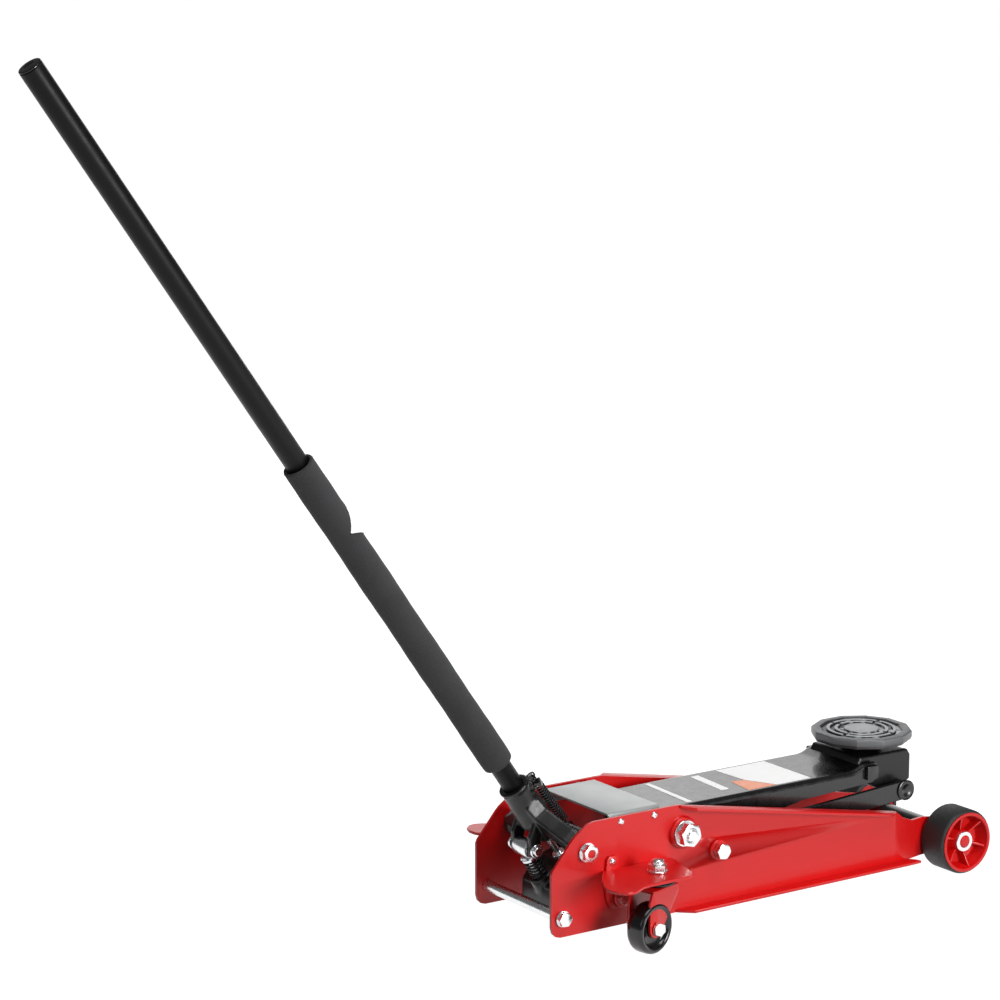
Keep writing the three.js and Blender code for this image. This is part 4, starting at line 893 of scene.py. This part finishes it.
def makeLabels():
    shapes = {
        "stripe_label_1": (whiteVinyl, [(242, -50), (250, -50), (255, 50), (247, 50)]),
        "stripe_label_2": (whiteVinyl, [(314, -30), (327, -30), (332, 44), (319, 44)]),
        "panel_label": (whiteVinyl, [(370, -8), (392, -50), (450, -50), (450, 50), (366, 50)]),
        "orange_label": (orangeVinyl, [(344, -50), (390.6, -50), (368.6, -9), (350, -4)]),
    }
    for name, (finish, outline) in shapes.items():
        points = [spot(x, y, arm["top"] + 0.02) for x, y in outline]
        piece = sheetPiece(name, points, upZ * label["thick"] * mm, label["round"])
        settle(piece, "arm", finish, "black_enamel")


makeLabels()
print("labels")

# radius rods and their front pin
rod = {"inner": 62.5, "sheet": 6, "radius": 13}


def makeRods():
    ahead = rodFrontAt - rodAt
    ahead.y = 0
    ahead.normalize()
    up = Vector((-ahead.z, 0, ahead.x))
    y = acrossY * rod["inner"] * mm
    rear, front = Vector((rodAt.x, 0, rodAt.z)), Vector((rodFrontAt.x, 0, rodFrontAt.z))
    outline = arcPoints(rear + y, rod["radius"], 90, 270, 22, ahead, up) + arcPoints(
        front + y, rod["radius"], -90, 90, 22, ahead, up)
    piece = sheetPiece("radius_rod_bar", outline, acrossY * rod["sheet"] * mm)
    carve(piece, [
        barPiece("hole", rear, acrossY, 7.3, 50, 90), barPiece("hole", front, acrossY, 8.3, 50, 90)])
    eased(piece, 0.9)
    settlePair(smoothed(piece), ("rod_left", "rod_right"), blackEnamel, "black_enamel", "radius_rod")
    half = [
        (8, 51.3), (11, 51.3), (11, 62.2), (8, 62.2), (8, 68.8), (13.4, 68.8), (14, 69.4), (14, 70.6),
        (12.6, 71.2), (8, 71.2), (6.6, 70.2), (0, 70.2)]
    pin = spunPiece("rod_front_pin_bar", front, acrossY, [(r, -h) for r, h in reversed(half)] + half)
    settle(pin, "bracket", blackEnamel, "black_enamel", "rod_front_pin")


makeRods()
print("radius rods")

# saddle bracket: ribbed iron casting that carries the saddle's boss
bracket = {"half": 51, "wall": 8, "voxel": 1.5, "relax": 5}
saddleAt = Vector(joints["saddle_swivel"]["pos_m"])
saddleAt.z = 0


def makeBracket():
    h, w = bracket["half"], bracket["wall"]
    front = Vector((rodFrontAt.x, 0, rodFrontAt.z))
    cheek = [(536, 169.4), (530, 160), (530, 142), (540, 134), (570, 120), (586, 104)]
    side = [spot(x, 0, z) for x, z in cheek] + arcPoints(front, 14.6, -130, 10, 10) + [
        spot(x, 0, z) for x, z in ((625.4, 128), (625.4, 160), (620, 169.4))]
    piece = sheetPiece("saddle_bracket_casting", [p + acrossY * (h - w) * mm for p in side],
        acrossY * (w - 0.4) * mm)
    other = mirroredCopy(piece, "cheek")
    deck = sheetPiece("deck", [spot(x, 0.4 - h, z) for x, z in (
        (536, 169.4), (530.4, 160), (530.4, 154), (544, 160), (619, 160), (619, 169.4))],
        acrossY * 2 * (h - 0.4) * mm)
    toe = sheetPiece("toe", [spot(x, y, 126) for x, y in (
        (617, 0.4 - h), (625.4, 0.4 - h), (625.4, h - 0.4), (617, h - 0.4))], upZ * 36 * mm)
    boss = spunPiece("boss", saddleAt, upZ, [
        (0, 138.4), (25, 138.4), (26, 140), (26, 168), (29, 170), (29, 172.6), (26, 174), (26, 175.6),
        (0, 175.6)])
    web = sheetPiece("web", [spot(577, y, z) for y, z in (
        (2 - h, 146), (h - 2, 146), (h - 2, 166), (2 - h, 166))],
                     alongX * 6 * mm)
    fuse(piece, [other, deck, toe, boss, web])
    carve(piece, [
        barPiece("hole", saddleAt, upZ, 15.6, 120, 190), barPiece("hole", frontAt, acrossY, 9.5, -80, 80),
        barPiece("hole", front, acrossY, 8.5, -80, 80)])
    castTogether(piece, bracket["voxel"], bracket["relax"])
    settle(smoothed(piece, 60), "bracket", castIron, "black_iron", "saddle_bracket")


makeBracket()
print("saddle bracket")

# saddle: twelve-sided dish, two broken rings and a centre pad
saddle = {"top": 194, "radius": 69, "sides": 12}


def makeSaddle():
    t, r = saddle["top"], saddle["radius"]
    dish = spunPiece("saddle_casting", saddleAt, upZ, [
        (0, t - 17), (34, t - 17), (38, t - 16), (50, t - 15), (r - 3.4, t - 14), (r - 1.6, t - 12.6),
        (r, t - 9), (r, t - 1.6), (r - 1.4, t - 0.2), (r - 3, t), (58, t), (56.6, t - 0.6), (55, t - 3),
        (0, t - 3)], saddle["sides"])
    turnedBy(dish, math.radians(15), upZ, saddleAt)
    eased(dish, 0.5, 2, 20)
    rings = [spunPiece("ring", saddleAt, upZ, [
        (a, t - 4), (a + 5, t - 4), (a + 5, t - 0.6), (a + 4.4, t), (a + 0.6, t), (a, t - 0.6),
        (a, t - 4)], 96) for a in (43, 32)]
    ring = fuse(rings[0], [rings[1]])
    cuts = []
    for a in (0, 90):
        slot = sheetPiece("cut", [saddleAt + Vector((x, y, t - 2.4)) * mm for x, y in (
            (-52, -3), (52, -3), (52, 3), (-52, 3))], upZ * 6 * mm)
        cuts.append(turnedBy(slot, math.radians(a + 20), upZ, saddleAt))
    carve(ring, cuts)
    pad = spunPiece("pad", saddleAt, upZ, [(0, t - 4), (24, t - 4), (24, t - 0.7), (23.3, t), (0, t)], 72)
    stem = spunPiece("stem", saddleAt, upZ, [(0, 138), (14, 138), (15, 139), (15, t - 14), (0, t - 14)], 64)
    fuse(dish, [ring, pad, stem])
    settle(smoothed(dish, 30), "saddle", saddleIron, "black_iron", "saddle")


makeSaddle()
print("saddle")

# handle yoke: black casting with a clamped collar, two eyes and the roller's lugs
yoke = {"collar": 22, "bore": 14.4, "voxel": 1.3, "relax": 12}
rollerAt = middleOf("pump_roller")
clampAim = handleFront * math.cos(math.radians(-41)) + acrossY * math.sin(math.radians(-41))
springTop, springFoot = onHandle(29, 0, 83), middleOf("spring_anchor_rod")


def makeYoke():
    web = [
        (-20, 66), (-26, 48), (-48, 34), (-66, 24), (-77.4, 12), (-77.4, -3), (-64.4, -3), (-62, 4),
        (-34, 18), (-24, 23), (24, 23), (34, 18), (62, 4), (64.4, -3), (77.4, -3), (77.4, 12), (66, 24),
        (48, 34), (26, 48), (20, 66)]
    piece = sheetPiece("handle_yoke_casting", [onHandle(-11.6, y, t) for y, t in web],
        handleFront * 23.2 * mm)
    c = yoke["collar"]
    collar = spunPiece("collar", yokeAt, handleUp, [
        (0, 30), (c - 1.4, 30), (c - 0.4, 31.5), (c - 1.2, 60), (19.6, 71), (19.2, 88), (20.6, 90),
        (20.8, 93.4), (0, 93.8)])
    eyes = [spunPiece("eye", yokeAt, acrossY, [
        (0, s * 64.3), (15.6, s * 64.3), (16.7, s * 65.4), (16.7, s * 76.7), (15.6, s * 77.7),
        (0, s * 77.7)]) for s in (1, -1)]
    ear = [onHandle(-11, 0, 44), onHandle(-11, 0, 23)]
    ear += arcPoints(rollerAt, 8.8, -80, -250, 14, handleFront, handleUp) + [onHandle(-30, 0, 32)]
    ears = []
    for s in (1, -1):
        outline = [Vector((p.x, s * 15.3 * mm, p.z)) for p in ear]
        ears.append(sheetPiece("ear", outline, acrossY * s * 7.4 * mm, ease=0.8))
    clamp = barPiece("clamp", onHandle(0, 0, 82), clampAim, 7.8, 12, 24.8)
    tag = sheetPiece("tag", [onHandle(x, -1.9, t) for x, t in (
        (12, 73), (29, 77), (33.6, 80), (33.6, 86), (29, 88.8), (12, 90))], acrossY * 3.8 * mm)
    fuse(piece, [collar] + eyes + ears + [clamp, tag])
    castTogether(piece, yoke["voxel"], yoke["relax"])
    carve(piece, [
        barPiece("bore", yokeAt, handleUp, yoke["bore"], -20, 120, steps=64),
        barPiece("bore", yokeAt, acrossY, 8.3, -90, 90),
        barPiece("bore", Vector((rollerAt.x, 0, rollerAt.z)), acrossY, 6.3, -40, 40),
        barPiece("bore", onHandle(0, 0, 82), clampAim, 4.3, 0, 60),
        barPiece("bore", springTop, acrossY, 2.9, -10, 10)])
    settle(smoothed(piece, 50), "yoke", castIron, "black_iron", "handle_yoke")

    screw = hexPiece("clamp_screw_bolt", onHandle(0, 0, 82), clampAim, 12.1, 29, 34)
    fuse(screw, [barPiece("shank", onHandle(0, 0, 82), clampAim, 4, 14.3, 30, 0.3)])
    settle(screw, "yoke", blackEnamel, "black_enamel", "clamp_screw")

    middle = Vector((rollerAt.x, 0, rollerAt.z))
    half = [(6, 23.5), (8.5, 23.5), (9, 24), (9, 26.5), (8.5, 27), (6, 27), (6, 29.2), (5.2, 30), (0, 30)]
    pin = spunPiece("roller_pin_bar", middle, acrossY, [(r, -h) for r, h in reversed(half)] + half, 48)
    settle(pin, "yoke", zincPlate, "zinc_plate", "roller_pin")
    drum = spunPiece("pump_roller_drum", middle, acrossY, [
        (6.3, -14.4), (9, -14.4), (9.4, -13.8), (10.4, -13.8), (10.8, -14.4), (11.4, -14.2),
        (12, -13.2), (12, 13.2), (11.4, 14.2), (10.8, 14.4), (10.4, 13.8), (9.4, 13.8), (9, 14.4),
        (6.3, 14.4), (6.3, -14.4)], 72)
    settle(drum, "roller", zincPlate, "zinc_plate", "pump_roller")


makeYoke()
print("yoke")


# wire springs: a ring of wire screwed up its axis, hooks joined on
def coilPiece(name, at, axis, look):
    bpy.ops.object.select_all(action="DESELECT")
    bpy.ops.mesh.primitive_circle_add(vertices=12, radius=look["wire"] * mm, rotation=(quarter, 0, 0),
                                      location=(look["radius"] * mm, 0, (look["from"] + look["wire"]) * mm))
    piece = bpy.context.object
    piece.name = name
    bpy.ops.object.transform_apply(location=True, rotation=True, scale=True)
    rise = (look["to"] - look["from"] - 2 * look["wire"]) / look["turns"]
    applied(piece, "SCREW", {
        "angle": math.tau, "screw_offset": rise * mm, "iterations": look["turns"],
        "steps": 24, "render_steps": 24})
    onlyThis(piece)
    bpy.ops.object.mode_set(mode="EDIT")
    bpy.ops.mesh.select_all(action="SELECT")
    bpy.ops.mesh.fill_holes(sides=0)
    closeMesh()
    piece.data.transform(framed(at, axis))
    return smoothed(piece, 60)


def framed(at, axis):
    side = acrossY.cross(axis)
    return Matrix.Translation(at) @ Matrix((side, acrossY, axis)).transposed().to_4x4()


# A ring of round wire: the wire's circle drawn as a profile and spun about the ring's axis.
def spunRing(name, at, axis, radius, wire, steps=40):
    turns = [i * math.tau / 12 for i in range(13)]
    profile = [(radius + wire * math.cos(a), wire * math.sin(a)) for a in turns]
    return spunPiece(name, at, axis, profile, steps)


def settleBetween(piece, bodies, ends, finish, slot, *nodes):
    piece.data.materials.clear()
    piece.data.materials.append(finish)
    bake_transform(piece)
    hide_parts(*nodes)


pullSpring = {"radius": 5, "wire": 1.4, "from": 13, "to": 85.8, "turns": 17, "hook": 1.3}


def makeHandleSpring():
    foot = Vector((springFoot.x, 0, springFoot.z))
    aim = foot - springTop
    length = aim.length / mm
    aim = aim.normalized()
    piece = coilPiece("handle_spring_coil", springTop, aim, pullSpring)
    side = acrossY.cross(aim)
    parts = []
    for t, radius, face in ((5, 5, side), (length, 6.3, acrossY)):
        parts.append(spunRing("hook", springTop + aim * t * mm, face, radius, pullSpring["hook"]))
    for a, b in ((14.2, 9.8), (pullSpring["to"] - 1.2, length - 6.4)):
        start = springTop + aim * a * mm + side * 5 * mm
        way = springTop + aim * b * mm - start
        end = way.length / mm + 0.4
        parts.append(barPiece("link", start, way.normalized(), pullSpring["hook"], -0.6, end, steps=16))
    fuse(piece, parts)
    ends = (springTop, foot)
    settleBetween(smoothed(piece, 60), ("yoke", "frame"), ends, springSteel, "spring_steel",
        "handle_spring")


makeHandleSpring()
print("handle spring")

# handle: drive end, two tubes, foam sleeve and cap
tubes = {"low": 13.9, "high": 14.8, "joint": 560, "foamFrom": 134, "foamTo": 640, "foam": 20.6}


def makeHandle():
    low, high, bore = tubes["low"], tubes["high"], tubes["high"] - 2.2
    turns = [math.radians(a) for a in range(90, 0, -16)]
    socket = [(8.2 * math.cos(a), 8.2 * math.sin(a)) for a in turns]  # fits over the valve stem's ball
    socket[0] = (0, 8.2)
    profile = socket + [
        (10.9, 1.4), (11.5, 2), (11.5, 20), (12.6, 22), (low - 0.6, 23.6), (low, 25),
        (low, tubes["joint"] - 1), (bore - 0.3, tubes["joint"]), (bore - 0.3, 610), (low - 2.6, 610),
        (low - 2.6, 30), (0, 30)]
    tube = spunPiece("lower_tube_steel", yokeAt, handleUp, profile)
    settle(tube, "handle", tubeCoat, "tube_black", "lower_tube")
    profile = [
        (bore, 560.5), (high - 0.3, 560.5), (high, 561), (high, 1232.2), (high - 0.7, 1233),
        (bore, 1233), (bore, 560.5)]
    tube = spunPiece("upper_tube_steel", yokeAt, handleUp, profile)
    settle(tube, "handle", tubeCoat, "tube_black", "upper_tube")

    foam, lo, hi = tubes["foam"], tubes["foamFrom"], tubes["foamTo"]
    skin = []
    for i in range(61):  # moulded foam is never quite straight: slow swells along its length
        t = lo + 4 + (hi - lo - 8) * i / 60
        skin.append((foam - 0.35 + 0.28 * math.sin(t * 0.045) + 0.12 * math.sin(t * 0.17 + 1), t))
    mouth = [
        (foam - 0.1, hi - 2.4), (foam - 0.9, hi - 0.5), (foam - 2.2, hi), (high + 1.9, hi - 0.4),
        (high + 1.2, hi - 1.6), (high + 0.4, hi - 9)]
    profile = [
        (low + 0.3, lo + 1.6), (low + 1.4, lo + 0.4), (foam - 2, lo),
        (foam - 0.8, lo + 1)] + skin + mouth + [
        (high + 0.3, 558), (low + 0.3, 556), (low + 0.3, lo + 1.6)]
    sleeve = spunPiece("foam_sleeve_grip", yokeAt, handleUp, profile, 72)
    settle(sleeve, "handle", foamCells, "foam", "foam_sleeve")

    r = tubes["high"]
    cap = spunPiece("handle_cap_plug", yokeAt, handleUp, [
        (0, 1214), (bore - 0.4, 1214), (bore - 0.4, 1233.4), (r - 0.7, 1233.4), (r - 0.2, 1233.9),
        (r - 0.2, 1234.7), (r - 0.7, 1235.3), (r - 1.6, 1235.6), (8, 1235.6), (7, 1234.8), (0, 1234.6)], 64)
    settle(cap, "handle", mouldedNylon, "end_cap", "handle_cap")

    face = handleFront * math.cos(math.radians(-52)) + acrossY * math.sin(math.radians(-52))
    side = handleUp.cross(face)
    skinRing = spunPiece("sleeve_label", yokeAt, handleUp, [
        (foam - 0.2, 495), (foam + 0.25, 495), (foam + 0.25, 580), (foam - 0.2, 580), (foam - 0.2, 495)],
        96)
    patch = sheetPiece("patch", [yokeAt + side * u * mm + handleUp * t * mm for u, t in (
        (-13, 533), (19, 571), (19, 507))], face * 40 * mm, 1.5)
    mixed(skinRing, [patch], "INTERSECT")
    settle(skinRing, "handle", whiteVinyl, "foam")


makeHandle()
print("handle")

# power unit: cast pump block, pump plunger on its lean, reservoir, valve stem and ram
pump = {"lean": 30, "half": 38, "top": 2.95, "voxel": 1.8, "relax": 5}
pumpAim = Vector((math.sin(math.radians(pump["lean"])), 0, -math.cos(math.radians(pump["lean"]))))
pumpAt = yokeAt - Vector((-pumpAim.z, 0, pumpAim.x)) * 35 * mm
ramAt = Vector((rearEdge, 0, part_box("reservoir")[0].z / 2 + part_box("reservoir")[1].z / 2))


def makePowerUnit():
    h = pump["half"]
    shape = [(40, 32), (48, 28), (112, 28), (112, 100), (96, 104), (70, 94), (48, 78), (40, 66)]
    block = sheetPiece("pump_block_casting", [spot(x, 0.5 - h, z) for x, z in shape],
        acrossY * (2 * h - 1) * mm)
    barrel = spunPiece("barrel", pumpAt, pumpAim, [(0, 36), (14, 36), (15, 37), (15, 60), (0, 60)])
    lugs = barPiece("lugs", unitAt, acrossY, 13.6, -81.6, 81.6)
    neck = barPiece("neck", ramAt, alongX, 29.6, 100, 119.6, steps=72)
    fuse(block, [barrel, lugs, neck])
    castTogether(block, pump["voxel"], pump["relax"])
    carve(block, [
        barPiece("bore", pumpAt, pumpAim, 7.3, 20, 76), barPiece("bore", yokeAt, handleUp, 6.3, -51, 10),
        barPiece("bore", ramAt, alongX, 14.3, 83.5, 140), barPiece("bore", unitAt, acrossY, 5.3, 58.4, 90),
        barPiece("bore", unitAt, acrossY, 5.3, -90, -58.4),
        barPiece("bore", spot(100, 0, 0), upZ, 4.3, 92, 120)])
    settle(smoothed(block, 50), "frame", castIron, "black_iron", "pump_block")

    tank = spunPiece("reservoir_shell", ramAt, alongX, [
        (14.3, 120.3), (33.6, 120.3), (34.6, 121), (36, 122.4), (36, 144.6), (35.2, 146.4),
        (33.4, 147.4), (21, 148), (14.3, 148), (14.3, 120.3)], 96)
    settle(tank, "frame", redEnamel, "red_enamel", "reservoir")
    plug = hexPiece("filler_plug_screw", spot(100, 0, 0), upZ, 12, 104.6, 108.5, 10)
    fuse(plug, [barPiece("shank", spot(100, 0, 0), upZ, 4, 94, 105, 0.3)])
    settle(plug, "frame", zincPlate, "zinc_plate", "filler_plug")

    ball = [(7 * math.cos(math.radians(a)), 7 * math.sin(math.radians(a))) for a in range(-55, 90, 12)]
    stem = spunPiece("release_stem_rod", yokeAt, handleUp, [
        (0, -50), (5.4, -50), (6, -49.4), (6, -34.4), (8.1, -34.4), (8.5, -34), (8.5, -30.4),
        (8.1, -30), (4, -30), (4, -6)] + ball + [(0, 7)], 48)
    settle(stem, "valve", zincPlate, "zinc_plate", "release_stem")

    t = pump["top"]
    plunger = spunPiece("pump_plunger_rod", pumpAt, pumpAim, [
        (0, t), (11.6, t), (12.5, t + 0.9), (12.5, t + 4.4), (12, t + 5), (7, t + 5), (7, 47.5),
        (6.5, 48), (0, 48)], 64)
    settle(plunger, "plunger", chromeRod, "ram_chrome", "pump_plunger")
    coil = {"radius": 10, "wire": 1.4, "from": t + 5.4, "to": 35.6, "turns": 5}
    spring = coilPiece("plunger_spring_coil", pumpAt, pumpAim, coil)
    ends = (pumpAt + pumpAim * coil["from"] * mm, pumpAt + pumpAim * coil["to"] * mm)
    settleBetween(spring, ("plunger", "frame"), ends, springSteel, "spring_steel", "plunger_spring")


makePowerUnit()
print("power unit")

# ram: chromed rod with a slotted crosshead round the lever pin
crosshead = {"rear": 19, "front": 17, "half": 17, "rise": 24, "slot": 10.9, "up": 9, "down": 11}


def makeRam():
    x = (leverAt.x - rearEdge) / mm
    z = ramAt.z / mm
    c = crosshead
    head = sheetPiece("ram_rod", [spot(x + a, -c["half"], z + b) for a, b in (
        (-c["rear"], -c["rise"]), (c["front"], -c["rise"]), (c["front"], c["rise"]),
        (-c["rear"], c["rise"]))],
        acrossY * 2 * c["half"] * mm, 4, ease=0.8)
    top, low = spot(x, -30, z + c["up"]), spot(x, -30, z - c["down"])
    slot = arcPoints(low, c["slot"], 180, 360, 24) + arcPoints(top, c["slot"], 0, 180, 24)
    carve(head, [sheetPiece("slot", slot, acrossY * 60 * mm)])
    bar = spunPiece("bar", ramAt, alongX, [
        (0, 93), (13.2, 93), (14, 93.8), (14, x - c["rear"] + 4), (0, x - c["rear"] + 4)], 72)
    settle(fuse(head, [bar]), "ram", chromeRod, "ram_chrome", "ram")


makeRam()
print("ram")

# studio: pale sweep of floor, large soft lights, white surround
studio = {"floor": 14, "world": 0.14}


def makeStudio():
    bpy.ops.object.select_all(action="DESELECT")
    bpy.ops.mesh.primitive_plane_add(size=studio["floor"] * 2, location=(0, 0, -0.0004))
    floor = bpy.context.object
    floor.name = "studio_floor"
    paper = newFinish("studio_floor_paper", {
        "Base Color": linear("#9a9a9a"), "Roughness": 0.9, "Emission Color": linear("#ffffff"),
        "Emission Strength": 0.97})[0]
    floor.visible_diffuse = False  # its glow would tint the sides from below
    floor.data.materials.append(paper)
    world = bpy.data.worlds.new("studio_white")
    bpy.context.scene.world = world
    world.use_nodes = True
    tree = world.node_tree
    tree.nodes.clear()
    seen = addNode(tree, "ShaderNodeBackground", {}, {"Color": linear("#ffffff"), "Strength": 1.0})
    lit = addNode(tree, "ShaderNodeBackground", {},
        {"Color": linear("#ffffff"), "Strength": studio["world"]})
    straight = addNode(tree, "ShaderNodeLightPath", {}, {}).outputs["Is Camera Ray"]
    both = addNode(tree, "ShaderNodeMixShader", {}, {0: straight, 1: lit.outputs[0], 2: seen.outputs[0]})
    addNode(tree, "ShaderNodeOutputWorld", {}, {"Surface": both.outputs[0]})
    lights = {
        "key_softbox": ((1.0, -3.0, 0.8), 1.2, 72),
        "fill_softbox": ((-2.4, -1.6, 1.6), 1.2, 7),
        "top_softbox": ((0.2, -0.9, 2.5), 1.5, 34),
        "rear_softbox": ((1.9, 2.9, 1.2), 2.6, 30),
    }
    for name, (at, size, power) in lights.items():
        bpy.ops.object.light_add(type="AREA", location=at)
        lamp = bpy.context.object
        lamp.name = name
        lamp.data.size = size
        lamp.data.energy = power
        lamp.rotation_euler = (Vector((0.1, 0, 0.2)) - Vector(at)).to_track_quat("-Z", "Y").to_euler()
    bpy.context.scene.view_settings.view_transform = "Standard"


makeStudio()
print("studio")
